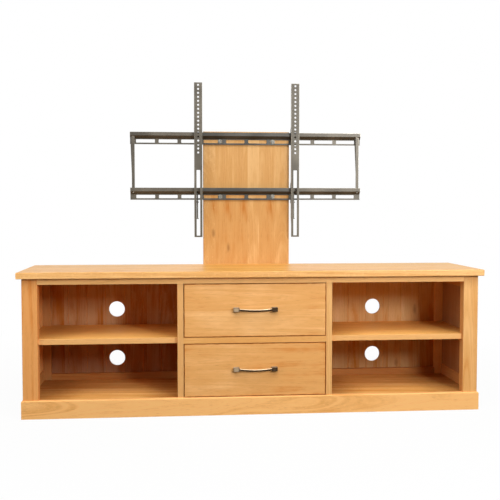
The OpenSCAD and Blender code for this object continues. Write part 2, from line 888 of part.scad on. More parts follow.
// Round bar along y through both feet of a handle
module handle_bars(front, y, r) {
    for (side = [-1, 1]) rod_y(side * handle_foot_x, y, handle_z(front), r);
}

module handle_screw_holes(front, g) {
    handle_bars(front, [-handle_screw_in - g, drawer_front_t + through], handle_screw_r + g);
}

module drawer_front(front) {
    x = drawer_x;
    color(oak) placed() difference() {
        block([-x, x], [0, drawer_front_t], front);
        for (side = [0, 1]) mirror([side, 0, 0]) difference() {
            tails(front, hole_gap);
            block([0, x + through], [drawer_front_t + through, drawer_d + through], [0, cabinet_h]);
        }
        bottom_room(front, hole_gap);
        handle_screw_holes(front, hole_gap);
    }
}

module drawer_side(front, side) {
    z = side_z(front);
    color(pale_oak) on_side(side) difference() {
        union() {
            block([drawer_x - drawer_side_t, drawer_x],
                [drawer_front_t, drawer_d - drawer_side_t], z);
            tails(front, 0);
        }
        runner_groove(front);
        bottom_room(front, hole_gap);
    }
}

module drawer_back(front) {
    z = side_z(front);
    color(pale_oak) placed() difference() {
        block([-drawer_x, drawer_x], [drawer_d - drawer_side_t, drawer_d],
            [drawer_bottom_z(front) + drawer_bottom_t + hole_gap, z[1]]);
        for (side = [0, 1]) mirror([side, 0, 0]) {
            tails(front, hole_gap);
            runner_groove(front);
        }
    }
}

module drawer_bottom(front) {
    color(pale_oak) placed() bottom_room(front, 0);
}

// Steps of a handle's foot: share of how far it stands out, and how much narrower it is
foot_plate = 0.16;
foot_neck = 0.38;
neck_drop = 4;
cap_drop = 1;
foot_round = 2;

// Step of a handle's foot between two distances out of the drawer, smaller by drop
module foot_step(out, drop) {
    w = (handle_foot_w - drop) / 2;
    h = (handle_foot_h - drop) / 2;
    along_y([-out[1], -out[0]]) polygon(round_rect([-w, w], [-h, h], foot_round));
}

// Handle: two stepped feet and a bow that arches outwards between them
module handle(front) {
    foot_out = handle_out - bow_rise;
    bow_half = handle_w / 2 - handle_foot_w + bow_in_foot;
    bow_r = (bow_half * bow_half + bow_rise * bow_rise) / (2 * bow_rise);
    bow_angle = asin(bow_half / bow_r);
    color(pewter) placed() difference() {
        translate([0, 0, handle_z(front)]) {
            for (side = [-1, 1]) translate([side * handle_foot_x, 0, 0]) {
                foot_step([0, foot_plate * foot_out], 0);
                foot_step([foot_plate * foot_out, foot_neck * foot_out], neck_drop);
                foot_step([foot_neck * foot_out, foot_out], cap_drop);
            }
            translate([0, bow_r - handle_out, 0])
                rotate([0, 0, -90 - bow_angle]) rotate_extrude(angle = 2 * bow_angle, $fn = 96)
                    polygon(round_rect([bow_r - bow_t, bow_r], [-bow_h / 2, bow_h / 2], bow_round));
        }
        handle_screw_holes(front, hole_gap);
    }
}

// How far the bow's ends run into the feet, and the rounding of its edges
bow_in_foot = 3;
bow_round = 2.5;

module handle_screws(front) {
    color(zinc) placed() {
        handle_bars(front, [-handle_screw_in, drawer_front_t], handle_screw_r);
        handle_bars(front, [drawer_front_t, drawer_front_t + 2.5], 2 * handle_screw_r);
    }
}

// Arms

// Rise and slope of a hook above the lip, its reach below, and its rear edge from the pylon
hook_rise = 14;
hook_slope = 16;
hook_reach = lip_h - 4;
hook_back = 5;
hook_front = lip_out + steel_t + slide_gap;
flange_out = arm_out - arm_flange_d;
arm_foot = arm_top - arm_l;
// Slopes at an arm's two ends, where the flanges run out
arm_top_slope = 25;
arm_foot_bare = 60;
arm_foot_slope = 30;
flange_end = 8;

// Lock screw that stands up under the lower rail's web, so that an arm can't lift off
lock_r = 3;
lock_nut_r = 5;
lock_nut_t = 4;
lock_x = -3.5;
lock_out = 12;
// Its tip just under the web, its lower end, and the ears and the tab that carry it
lock_tip = rail_zs[1] + web_front(lock_out - lock_r) - through;
lock_foot = rail_zs[1] - lock_hang;
ear_top = rail_zs[1] - through;
ear_foot = ear_top - 12;
ear_back = lock_out - 2 * lock_r;
tab_out = [ear_back, lock_out + lock_nut_r + 2];

// Hook over the lip of the rail whose top edge is at z, as (out, height), then its tail
function hook(z, tail) = concat(
    [[flange_out, z + hook_rise + hook_slope], [hook_back, z + hook_rise],
        [hook_back, z - hook_reach], [lip_out - slide_gap, z - hook_reach],
        [lip_out - slide_gap, z + slide_gap], [hook_front, z + slide_gap],
        [hook_front, z - rail_h + hook_rise]],
    tail,
    [[flange_out, z - rail_h - hook_rise - hook_slope / 2]]);

// Ear below the rail, at the ends of the tab
lock_ear = [[edge_out + lock_r, ear_top], [ear_back, ear_top], [ear_back, ear_foot],
    [hook_front, ear_foot - lock_r]];

module arm_flange() {
    polygon(on_pylon(concat(
        [[arm_out, arm_foot + arm_foot_bare], [arm_out, arm_top], [arm_out - flange_end, arm_top],
            [flange_out, arm_top - arm_top_slope]],
        hook(rail_top_z, []),
        hook(low_rail_z, lock_ear),
        [[flange_out, arm_foot + arm_foot_bare + arm_foot_slope],
            [arm_out - flange_end / 2, arm_foot + arm_foot_bare]]), 0));
}

module arm(side) {
    w = arm_w / 2;
    slot_z = arm_foot + arm_slot_foot;
    face_y = [carcase_d - arm_out, carcase_d - arm_out + arm_t];
    color(steel) placed() translate([side * arm_x / 2, 0, 0]) difference() {
        union() {
            along_y(face_y) polygon(round_rect([-w, w], [arm_foot, arm_top], arm_t));
            along_x([-w, -w + arm_t]) arm_flange();
            along_x([w - arm_t, w]) arm_flange();
            // Tab that the lock screw goes through, bent in from the left flange
            block([-w, lock_x + lock_nut_r + 1], [carcase_d - tab_out[1], carcase_d - tab_out[0]],
                [ear_foot, ear_foot + arm_t]);
        }
        along_y(wider(face_y, through)) polygon(round_rect([-arm_slot_w / 2, arm_slot_w / 2],
            [slot_z, slot_z + arm_slot_l], arm_slot_round));
        for (i = [0 : hole_count - 1]) rod_y(0, wider(face_y, through),
            arm_top - hole_start - i * hole_span / (hole_count - 1), hole_d / 2);
        lock_bar([ear_foot - through, ear_foot + arm_t + through], lock_r + hole_gap, round_fn);
    }
}

// Bar along the lock screw's axis
module lock_bar(z, r, fn) {
    translate([lock_x, carcase_d - lock_out, z[0]]) cylinder(h = z[1] - z[0], r = r, $fn = fn);
}

// Lock screw with its head below and its nut on the tab
module arm_bolt(side) {
    nut_z = ear_foot + arm_t;
    color(zinc) placed() translate([side * arm_x / 2, 0, 0]) {
        lock_bar([lock_foot, lock_tip], lock_r, round_fn);
        lock_bar([lock_foot, lock_foot + lock_nut_t], lock_nut_r, 6);
        lock_bar([nut_z, nut_z + lock_nut_t], lock_nut_r, 6);
    }
}

// Every sub-part, drawn when it is asked for
top_board();
front_post(-1);  // front_post_left
front_post(1);  // front_post_right
rear_post(-1);  // rear_post_left
rear_post(1);  // rear_post_right
side_panel(-1);  // side_panel_left
side_panel(1);  // side_panel_right
side_top_rail(-1);  // side_top_rail_left
side_top_rail(1);  // side_top_rail_right
side_bottom_rail(-1);  // side_bottom_rail_left
side_bottom_rail(1);  // side_bottom_rail_right
front_top_rail();
back_top_rail();
back_bottom_rail();
divider(-1);  // divider_left
divider(1);  // divider_right
bottom_board();
shelf(-1);  // shelf_left
shelf(1);  // shelf_right
shelf_cleat(-1);  // shelf_cleat_left
shelf_cleat(1);  // shelf_cleat_right
back_panel(-1);  // back_panel_left
back_panel_centre();
back_panel(1);  // back_panel_right
drawer_rail();
runner(high_front, -1);  // runner_upper_left
runner(high_front, 1);  // runner_upper_right
runner(low_front, -1);  // runner_lower_left
runner(low_front, 1);  // runner_lower_right
plinth_front();
plinth_side(-1);  // plinth_left
plinth_side(1);  // plinth_right
base_bearer(-1);  // base_bearer_left
base_bearer(1);  // base_bearer_right
pylon_board();
pylon_bolts();
bracket_rail(rail_zs[0]);  // bracket_rail_upper
bracket_rail(rail_zs[1]);  // bracket_rail_lower
end_bar(-1);  // end_bar_left
end_bar(1);  // end_bar_right
rail_bolts();
end_bar_screws();
drawer_front(high_front);  // drawer_front_upper
drawer_side(high_front, -1);  // drawer_side_left_upper
drawer_side(high_front, 1);  // drawer_side_right_upper
drawer_back(high_front);  // drawer_back_upper
drawer_bottom(high_front);  // drawer_bottom_upper
handle(high_front);  // handle_upper
handle_screws(high_front);  // handle_screws_upper
drawer_front(low_front);  // drawer_front_lower
drawer_side(low_front, -1);  // drawer_side_left_lower
drawer_side(low_front, 1);  // drawer_side_right_lower
drawer_back(low_front);  // drawer_back_lower
drawer_bottom(low_front);  // drawer_bottom_lower
handle(low_front);  // handle_lower
handle_screws(low_front);  // handle_screws_lower
arm(-1);  // arm_left
arm_bolt(-1);  // arm_bolt_left
arm(1);  // arm_right
arm_bolt(1);  // arm_bolt_right
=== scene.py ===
# %% [markdown]
# # An oak television cabinet with a steel screen bracket
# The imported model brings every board, drawer, rail and bolt at its real size, and each one keeps its place.
# What is left for this script is the looks: a finish for every piece, the small fittings that are too fine
# for the model, soft studio light and a camera. Lengths are in metres, the floor is at height zero, X runs
# along the cabinet and Y goes from its front to its back.

# %% Load the cabinet
import math
import random

import bmesh
import bpy
from mathutils import Matrix, Vector


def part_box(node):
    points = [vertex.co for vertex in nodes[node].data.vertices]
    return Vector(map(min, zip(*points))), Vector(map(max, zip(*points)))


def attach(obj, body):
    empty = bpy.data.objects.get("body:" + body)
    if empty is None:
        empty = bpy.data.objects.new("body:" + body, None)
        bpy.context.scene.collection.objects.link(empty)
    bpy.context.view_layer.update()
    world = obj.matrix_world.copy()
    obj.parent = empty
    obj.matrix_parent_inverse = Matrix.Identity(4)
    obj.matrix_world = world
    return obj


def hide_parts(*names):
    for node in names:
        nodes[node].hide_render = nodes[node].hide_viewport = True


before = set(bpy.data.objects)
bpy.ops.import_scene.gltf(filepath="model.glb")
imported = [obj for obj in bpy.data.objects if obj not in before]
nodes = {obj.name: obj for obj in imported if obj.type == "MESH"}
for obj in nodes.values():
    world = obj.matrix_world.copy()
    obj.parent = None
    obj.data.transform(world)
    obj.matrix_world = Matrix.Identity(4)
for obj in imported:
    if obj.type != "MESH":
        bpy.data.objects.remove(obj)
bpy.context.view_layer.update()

scene = bpy.context.scene
MM = 0.001
print("pieces in the packed model:", len(nodes))

# %% [markdown]
# ## Sums on shader sockets
# A finish such as oak is a sum of many patterns: growth rings, fibres, pores, worn edges. In the shader
# editor each plus and times is a Math node. The class below wraps a socket, so that the sum can be written
# as it would be on paper, and every operator adds its node. A number on the left side, as in 1 - mask, needs
# the reflected form of the operator, so both forms are there.

# %% A socket that can be added and multiplied
class Value:
    """The output of a node, with operators that add Math nodes behind it."""

    def __init__(self, recipe, socket):
        self.recipe = recipe
        self.socket = socket

    def sum(self, operation, *values):
        """The result of a Math node with one operation."""
        return self.recipe.node("Math", {"operation": operation}, values)

    def __add__(self, other):
        return self.sum("ADD", self, other)

    def __radd__(self, other):
        return self.sum("ADD", other, self)

    def __sub__(self, other):
        return self.sum("SUBTRACT", self, other)

    def __rsub__(self, other):
        return self.sum("SUBTRACT", other, self)

    def __mul__(self, other):
        return self.sum("MULTIPLY", self, other)

    def __rmul__(self, other):
        return self.sum("MULTIPLY", other, self)

    def __truediv__(self, other):
        return self.sum("DIVIDE", self, other)

    def __pow__(self, other):
        return self.sum("POWER", self, other)

    def size(self):
        """The value without its sign."""
        return self.sum("ABSOLUTE", self)

    def least(self, other):
        """The smaller of two values."""
        return self.sum("MINIMUM", self, other)

    def most(self, other):
        """The larger of two values."""
        return self.sum("MAXIMUM", self, other)

    def equals(self, number):
        """One where the value is a whole number, and nothing elsewhere."""
        return self.sum("COMPARE", self, number, 0.5)

    def is_past(self, level):
        """One where the value lies above a level, and nothing below it."""
        return self.sum("GREATER_THAN", self, level)


# %% [markdown]
# ## A recipe for a node tree
# Any node that isn't a sum comes from one method: it takes the node's type, its settings, and what goes into
# its sockets, by place or by name. The few that every finish needs, such as noise with its own scale in each
# direction or a smooth step between two levels, get a short name.

# %% The recipe
class Recipe:
    """Adds nodes to one tree, which belongs to a finish or to the world."""

    def __init__(self, tree):
        self.tree = tree
        self.tree.nodes.clear()

    def node(self, kind, settings=None, values=(), out=0):
        """Adds a node, sets it, fills or links its sockets and returns one of its outputs."""
        node = self.tree.nodes.new("ShaderNode" + kind)
        for name, setting in (settings or {}).items():
            setattr(node, name, setting)
        pairs = values.items() if isinstance(values, dict) else enumerate(values)
        for name, value in pairs:
            if isinstance(value, Value):
                self.tree.links.new(value.socket, node.inputs[name])
            else:
                node.inputs[name].default_value = value
        return Value(self, node.outputs[out]) if node.outputs else None

    def outputs(self, kind, settings=None, values=()):
        """Adds a node and returns all its outputs by name."""
        node = self.node(kind, settings, values).socket.node
        return {socket.name: Value(self, socket) for socket in node.outputs}

    def noise(self, x, y, z, detail=2.0, roughness=0.5):
        """Cloudy noise around one half, at a point whose three parts have their own scales."""
        place = self.node("CombineXYZ", values=[x, y, z])
        values = {"Vector": place, "Scale": 1.0, "Detail": detail, "Roughness": roughness}
        return self.node("TexNoise", values=values)

    def step(self, value, start, end, low=0.0, high=1.0):
        """A smooth step from one level to another, which may also lead downwards."""
        return self.node("MapRange", {"interpolation_type": "SMOOTHSTEP"},
                         [value, start, end, low, high])

    def blend(self, share, first, second, mode="MIX"):
        """Mixes a share of a second colour into a first one, or multiplies it."""
        settings = {"data_type": "RGBA", "blend_type": mode}
        return self.node("Mix", settings, {0: share, 6: first, 7: second}, out=2)

    def bump(self, height, distance, strength):
        """Small relief from a pattern of heights."""
        return self.node("Bump", values={"Height": height, "Distance": distance, "Strength": strength})

    def show(self, shader, kind="OutputMaterial"):
        """Leads a shader to the tree's output."""
        self.node(kind, values={"Surface": shader})


def new_finish(name):
    """An empty material, and the recipe that fills it."""
    material = bpy.data.materials.new(name)
    material.use_nodes = True
    return material, Recipe(material.node_tree)


def looked_at(recipe):
    """One for a ray from the camera, a reflection or a view through glass, and nothing for other light."""
    rays = recipe.outputs("LightPath")
    return rays["Is Camera Ray"].most(rays["Is Glossy Ray"]).most(rays["Is Transmission Ray"])


def seen(red, green, blue):
    """A colour as it looks on a screen, from 0 to 255, as the amounts of light that a shader works in."""
    return tuple((part / 255) ** 2.2 for part in (red, green, blue)) + (1.0,)


print("a middle oak tone as amounts of light:", [round(part, 3) for part in seen(230, 169, 102)])

# %% [markdown]
# ## The camera
# The cabinet is looked at from 3.3 m in front, a little left of its middle and above its top board, with the
# camera turned slightly to the right. The place and the lens follow from the corners of the cabinet, whose
# real sizes are known. The picture is square, so the sensor's width counts both ways.

# %% Place the camera
CAMERA_PLACE = (-0.3267, -3.5344, 0.8390)
CAMERA_TURNED_RIGHT = math.radians(5.239)
CAMERA_TIPPED_DOWN = math.radians(2.858)
CAMERA_LENS_MM = 59.33

camera = bpy.data.objects.new("camera", bpy.data.cameras.new("camera"))
camera.data.sensor_width = 36.0
camera.data.lens = CAMERA_LENS_MM
camera.location = CAMERA_PLACE
camera.rotation_euler = (math.radians(90) - CAMERA_TIPPED_DOWN, 0.0, -CAMERA_TURNED_RIGHT)
scene.collection.objects.link(camera)
scene.camera = camera

# %% [markdown]
# ## The studio
# One lamp in front on the right, a little above the cabinet, throws the shadow of each upright into the bay
# beside it. Wide, soft lights from high in front and from both far sides fill the fronts without reaching
# deep into the bays, one overhead brightens the top board, and one behind keeps the back readable. The world
# is white where the camera or a reflection looks at it, and gives hardly any light to the wood, so the bays
# stay deep. Together they light a front at about one, and a colour shows about as it is written.

# %% Lamps and world
scene.view_settings.view_transform = "Standard"


def soft_light(name, place, aim, size, watts, mirrored=True):
    """A rectangular lamp that looks from its place at a point, and that the camera doesn't see."""
    lamp = bpy.data.lights.new(name, "AREA")
    lamp.shape = "RECTANGLE"
    lamp.size, lamp.size_y = size
    lamp.energy = watts
    light = bpy.data.objects.new(name, lamp)
    light.location = place
    light.rotation_euler = (Vector(aim) - Vector(place)).to_track_quat("-Z", "Y").to_euler()
    light.visible_camera = False
    light.visible_glossy = mirrored
    scene.collection.objects.link(light)


soft_light("right_light", (1.6, -3.4, 1.6), (0.1, 0.0, 0.4), (0.7, 0.7), 63.0)
soft_light("far_right_light", (3.4, -2.2, 1.4), (0.4, 0.0, 0.4), (1.6, 1.6), 21.0)
soft_light("far_left_light", (-3.4, -2.2, 1.4), (-0.4, 0.0, 0.4), (1.6, 1.6), 37.0)
soft_light("high_front_light", (0.2, -2.8, 2.6), (0.0, 0.0, 0.4), (2.4, 1.0), 17.0)
soft_light("slanting_light", (0.0, -1.6, 3.0), (0.0, 0.0, 0.5), (3.6, 1.4), 64.0)
soft_light("overhead_light", (0.0, 0.2, 3.2), (0.0, 0.0, 0.5), (3.6, 1.6), 4.0)
soft_light("back_light", (0.4, 4.6, 1.6), (0.0, 0.0, 0.6), (3.2, 2.4), 60.0, False)

WORLD_FILL = 0.02
WHITE = (1.0, 1.0, 1.0, 1.0)
scene.world = bpy.data.worlds.new("studio")
scene.world.use_nodes = True
studio = Recipe(scene.world.node_tree)
strength = looked_at(studio) * (1 - WORLD_FILL) + WORLD_FILL
sky = studio.node("Background", values={"Color": WHITE, "Strength": strength})
studio.show(sky, "OutputWorld")

# %% [markdown]
# ## The floor
# The floor is one large white sheet. A plain white surface would look grey a few metres out, where the lamps
# reach it less, and would end in a grey line at the horizon. So for the camera and for reflections a share of
# it glows white, and that share grows with the distance from the cabinet. The rest is a matt surface that
# keeps the soft shadow around the cabinet. For the light that bounces on to the wood the floor is dark grey,
# because a white one would fill the open bays from below, and they are deep and dark.

# %% Lay the floor
FLOOR_HALF = 40.0
FLOOR_PALE = 0.80
FLOOR_BOUNCE = 0.06
GLOW_NEAR = 0.96
GLOW_STARTS = 0.7
GLOW_WHOLE = 2.6

floor_shape = bmesh.new()
bmesh.ops.create_grid(floor_shape, x_segments=1, y_segments=1, size=FLOOR_HALF)
floor_mesh = bpy.data.meshes.new("floor")
floor_shape.to_mesh(floor_mesh)
floor_shape.free()
floor = bpy.data.objects.new("floor", floor_mesh)
scene.collection.objects.link(floor)

floor_finish, paper = new_finish("floor_white")
pale_matt = paper.node("BsdfDiffuse", values={"Color": (FLOOR_PALE, FLOOR_PALE, FLOOR_PALE, 1.0)})
dark_matt = paper.node("BsdfDiffuse", values={"Color": (FLOOR_BOUNCE, FLOOR_BOUNCE, FLOOR_BOUNCE, 1.0)})
glow = paper.node("Emission", values={"Color": WHITE})
paper_place = paper.outputs("SeparateXYZ", values=[paper.node("TexCoord", out=3)])
away = (paper_place["X"] ** 2.0 + paper_place["Y"] ** 2.0) ** 0.5
share = paper.step(away, GLOW_STARTS, GLOW_WHOLE, GLOW_NEAR, 1.0)
white = paper.node("MixShader", values=[share, pale_matt, glow])
paper.show(paper.node("MixShader", values=[looked_at(paper), dark_matt, white]))
floor_mesh.materials.append(floor_finish)
print("floor is", 2 * FLOOR_HALF, "m wide")

# %% [markdown]
# ## How oak is put together
# A board is cut from a log, whose growth rings are long, slightly tapering tubes. A cut along the log shows
# them as straight lines near the board's edges and as nested arches, called cathedrals, where the cut runs
# flat to the rings. One solid formula gives both, and end grain too: the distance from the log's middle, with
# a little wander, drives the ring pattern, and every board has its own log. Wide panels are glued up from
# several boards, so the place across the panel is first cut into boards, and each one draws its own numbers.
# Where a branch grew there is a small dark knot, and the rings flow round it, so near a knot the distance
# from the log's middle is pushed outwards.

# %% One board of a panel, and its growth rings
PITH_NEAR = 0.022
PITH_SPREAD = 0.050
TAPER = 0.030
SHIFT = 2.6
KNOT_LENGTH = 15 * MM
KNOT_WIDTH = 6 * MM


def board_of(oak, place, along, across, deep, box, seams, chance):
    """Splits a panel at its seams. Returns a point's place in its board, and three draws for the board."""
    axis = {"X": 0, "Y": 1, "Z": 2}
    low, high = box
    starts = [low[axis[across]], *seams, high[axis[across]]]
    number, middle, half = 0.0, (starts[0] + starts[1]) / 2, (starts[1] - starts[0]) / 2
    for before, seam, after in zip(starts, starts[1:], starts[2:]):
        past = place[across].is_past(seam)
        number = past + number
        middle = past * ((after - before) / 2) + middle
        half = past * ((before + after) / 2 - seam) + half
    seed = chance.uniform(0.0, 90.0)
    colour = oak.node("TexWhiteNoise", {"noise_dimensions": "1D"}, {"W": number + seed}, out=1)
    draws = list(oak.outputs("SeparateXYZ", values=[colour]).values())
    board = {
        "number": number,
        "side": place[across] - middle,
        "deep": place[deep] - (low[axis[deep]] + high[axis[deep]]) / 2,
        "long": place[along] - low[axis[along]],
        "half": half,
    }
    return board, draws


def knot_distance(place, along, across, middle):
    """How far a point lies from a knot, where one is the knot's own size."""
    long = (place[along] - middle[0]) / KNOT_LENGTH
    side = (place[across] - middle[1]) / KNOT_WIDTH
    return (long * long + side * side) ** 0.5


def ring_distance(oak, board, draws, wander, chance):
    """How far a point lies from the middle of the log that its board was cut from."""
    side = board["side"] + (draws[0] - 0.5) * board["half"] * SHIFT
    depth = board["deep"] + PITH_NEAR + draws[1] * PITH_SPREAD + board["long"] * TAPER
    start = draws[2] * 9.0 + chance.uniform(0.0, 9.0)
    bends = oak.noise(board["long"] * 2.6 + start, side * 7.0, depth * 7.0, detail=1.0) - 0.5
    return (side * side + depth * depth) ** 0.5 + bends * wander


print("rings of a board start", round(PITH_NEAR / MM), "to",
      round((PITH_NEAR + PITH_SPREAD) / MM), "mm from the middle of its log")

# %% [markdown]
# ## From rings to colour
# Seen from across a room, oak is an even honey colour with soft bands. Close by it has fine rings, fibres and
# thousands of short dark pores, and pale flecks where the cut crosses its rays. Each of these is noise that
# is stretched along the grain and has its own width. They add up to one tone from 0 to 1, which a mix
# between a dark and a pale honey turns into colour, so that all boards stay in one family.

# %% The tone of the wood, its pores and its flecks
def oak_tone(oak, board, rings, start, figure, clouds):
    """The lightness of the wood, from 0 to 1, with its ring bands and its soft clouds as strong as asked."""
    long, side, deep = board["long"] + start, board["side"], board["deep"]
    drift = oak.noise(long * 1.5, side * 5.0, deep * 5.0, detail=1.0)
    streak = oak.noise(long * 0.9, side * 62.0 + start, deep * 62.0, detail=2.0)
    fibre = oak.noise(long * 7.0, side * 520.0 + start, deep * 520.0, detail=2.0)
    band = oak.noise(rings * 105.0, long * 0.35, start, detail=1.5)
    fine = oak.noise(rings * 430.0, long * 0.8, start + 3.0, detail=1.0)
    mottle = oak.noise(long * 9.0, side * 30.0 + start, deep * 30.0, detail=2.0)
    tone = 0.5 + (band - 0.5) * (0.66 * figure) + (fine - 0.5) * (0.30 * figure)
    tone = tone + (streak - 0.5) * 0.20 + (fibre - 0.5) * 0.30
    tone = tone + (drift - 0.5) * (0.60 * clouds) + (mottle - 0.5) * (0.34 * clouds)
    return tone, fine


def oak_pores(oak, board, fine, start):
    """Short dark pores, packed into the early wood of each ring."""
    long, side, deep = board["long"] + start, board["side"], board["deep"]
    dashes = oak.noise(long * 42.0, side * 1500.0, deep * 1500.0 + start, detail=0.0)
    return oak.step(dashes, 0.60, 0.72) * oak.step(fine, 0.58, 0.42)


def oak_flecks(oak, board, draws, start):
    """Pale, short ribbons across the grain, on the boards that were cut towards the log's middle."""
    long, side, deep = board["long"] + start, board["side"], board["deep"]
    ribbons = oak.noise(long * 85.0, side * 190.0, deep * 60.0 + start, detail=1.0)
    return oak.step(ribbons, 0.60, 0.70) * oak.step(draws[1], 0.55, 0.8)


# %% [markdown]
# ## Edges that have been touched
# A sharp corner of lacquered wood wears first: it is rounded by hand and the finish there is thinner and
# paler. The distance to an edge of the piece follows from its box: on a face one of the three distances to
# the box's sides is nothing, and near an edge the second smallest is small too. That needs no extra geometry,
# and the same mask serves the steel, whose coating rubs off in the same places.

# %% Distance to the nearest edge of the piece's box
def edge_distance(finish, place, box):
    """The second smallest of the distances from a point to the three pairs of sides of a box."""
    low, high = box
    gaps = []
    for letter, start, end in zip("XYZ", low, high):
        gaps.append((place[letter] - (start + end) / 2).size() * -1.0 + (end - start) / 2)
    total = gaps[0] + gaps[1] + gaps[2]
    smallest = gaps[0].least(gaps[1]).least(gaps[2])
    largest = gaps[0].most(gaps[1]).most(gaps[2])
    return total - smallest - largest


# %% [markdown]
# ## The colour of oak
# The tone picks a colour between a dark, a middle and a pale oak, and darker browns are laid over it for the
# pores, the knots and the glue lines. No two pieces have quite the same colour, so a tint can follow, and
# three masks of painted shade that belong to a place: on what looks up, at the ends of a bay, and on the
# back of the lower bays. Each multiplies the colour inside a soft mask. On what closes the cabinet at its
# ends and its back, on the rails and posts inside the bays and on the pylon board, the tint is painted light
# and shade: it lies only on the faces that look into the bays or to the front, and there is no tint outside.

# %% From tone to colour, and the stains
DARK_OAK = seen(210, 119, 36)
MIDDLE_OAK = seen(232, 167, 94)
PALE_OAK = seen(252, 193, 122)
PORE_BROWN = seen(150, 74, 18)
KNOT_BROWN = seen(120, 60, 22)
PORE_STRENGTH = 0.30
KNOT_STRENGTH = 0.42
NO_TINT = (1.0, 1.0, 1.0)
BAY_MIDDLE = (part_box("divider_right")[1].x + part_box("front_post_right")[0].x) / 2
BRIGHT_HALF = 0.08
DARK_HALF = 0.27
LOW_SHADE_SOFT = 0.05


def oak_colour(oak, tone, pores, to_knots, rub):
    """A colour for each tone, with the pores and the knots laid over it."""
    colour = oak.blend(oak.step(tone, 0.0, 0.5), DARK_OAK, MIDDLE_OAK)
    colour = oak.blend(oak.step(tone, 0.5, 1.0), colour, PALE_OAK)
    colour = oak.blend(pores * PORE_STRENGTH, colour, PORE_BROWN)
    for to_knot in to_knots:
        dark = oak.step(to_knot + (rub - 0.5) * 1.6, 2.0, 0.2)
        colour = oak.blend(dark * KNOT_STRENGTH, colour, KNOT_BROWN)
    return colour


def multiply_colour(finish, mask, colour, amounts):
    """Multiplies the red, green and blue of a colour where the mask is one."""
    return finish.blend(mask, colour, (*amounts, 1.0), "MULTIPLY")


def oak_tints_and_shades(oak, colour, place, rub, tint=NO_TINT, upward_shade=None, ends=None, low_shade=None, tint_is_painted_light=False):
    """Tints a piece, and paints shade on what looks up, at the ends of the bays and below a height."""
    facing = oak.outputs("SeparateXYZ", values=[oak.node("TexCoord", out=1)])
    inside = 1.0
    # Painted light and shade: the tint lies only on the faces that look into the bays or to the front.
    if tint_is_painted_light:
        side = oak.step(place["X"], -0.01, 0.01) * 2.0 - 1.0
        inside = oak.step(side * facing["X"], 0.9, 0.3) * oak.step(facing["Y"], 0.9, 0.3)
    colour = multiply_colour(oak, inside, colour, tint)
    # Painted shade on what looks up.
    if upward_shade:
        colour = multiply_colour(oak, oak.step(facing["Z"], 0.3, 0.9), colour, upward_shade)
    # Painted shade at the ends of each bay, on what looks up; the middle of the bay stays bright.
    if ends:
        from_middle = (place["X"].size() - BAY_MIDDLE).size() + (rub - 0.5) * 0.04
        end_shade = oak.step(from_middle, BRIGHT_HALF, DARK_HALF) * oak.step(facing["Z"], 0.3, 0.9)
        colour = multiply_colour(oak, end_shade, colour, ends)
    # Painted shade on the faces that look to the front, below a height: the back of the lower bays.
    if low_shade:
        height, amounts = low_shade
        low = oak.step(place["Z"], height + LOW_SHADE_SOFT, height - LOW_SHADE_SOFT)
        colour = multiply_colour(oak, low * oak.step(facing["Y"], -0.3, -0.9), colour, amounts)
    return colour


print("the middle of a bay is", round(BAY_MIDDLE, 4), "m from the middle of the cabinet")

# %% [markdown]
# ## The oak finish
# Every oak piece gets its own material, because its grain, boards and seed differ, but all come from this one
# function. Shade makes the whole piece paler, figure sets how strong its rings show, wander how much its log
# bends, seam how dark the glue lines are, tones how single boards differ, rays how bright the flecks are,
# clouds how blotchy the wood is and edges how pale the edges are where they wear; below nothing, edges sets
# how dark the edges are painted, as painted shade of the gaps around a drawer front.
# The wood was given a clear satin lacquer: the roughness is medium and a thin coat lies over it. Pores and
# fibres are slightly sunk, which the bump shows at a low angle.

# %% The oak function
SEAM_WIDTH = 0.9 * MM
KNOT_REACH = 3.2
KNOT_PUSH = 11 * MM
GLUED_SPREAD = 0.30
SINGLE_SPREAD = 0.12


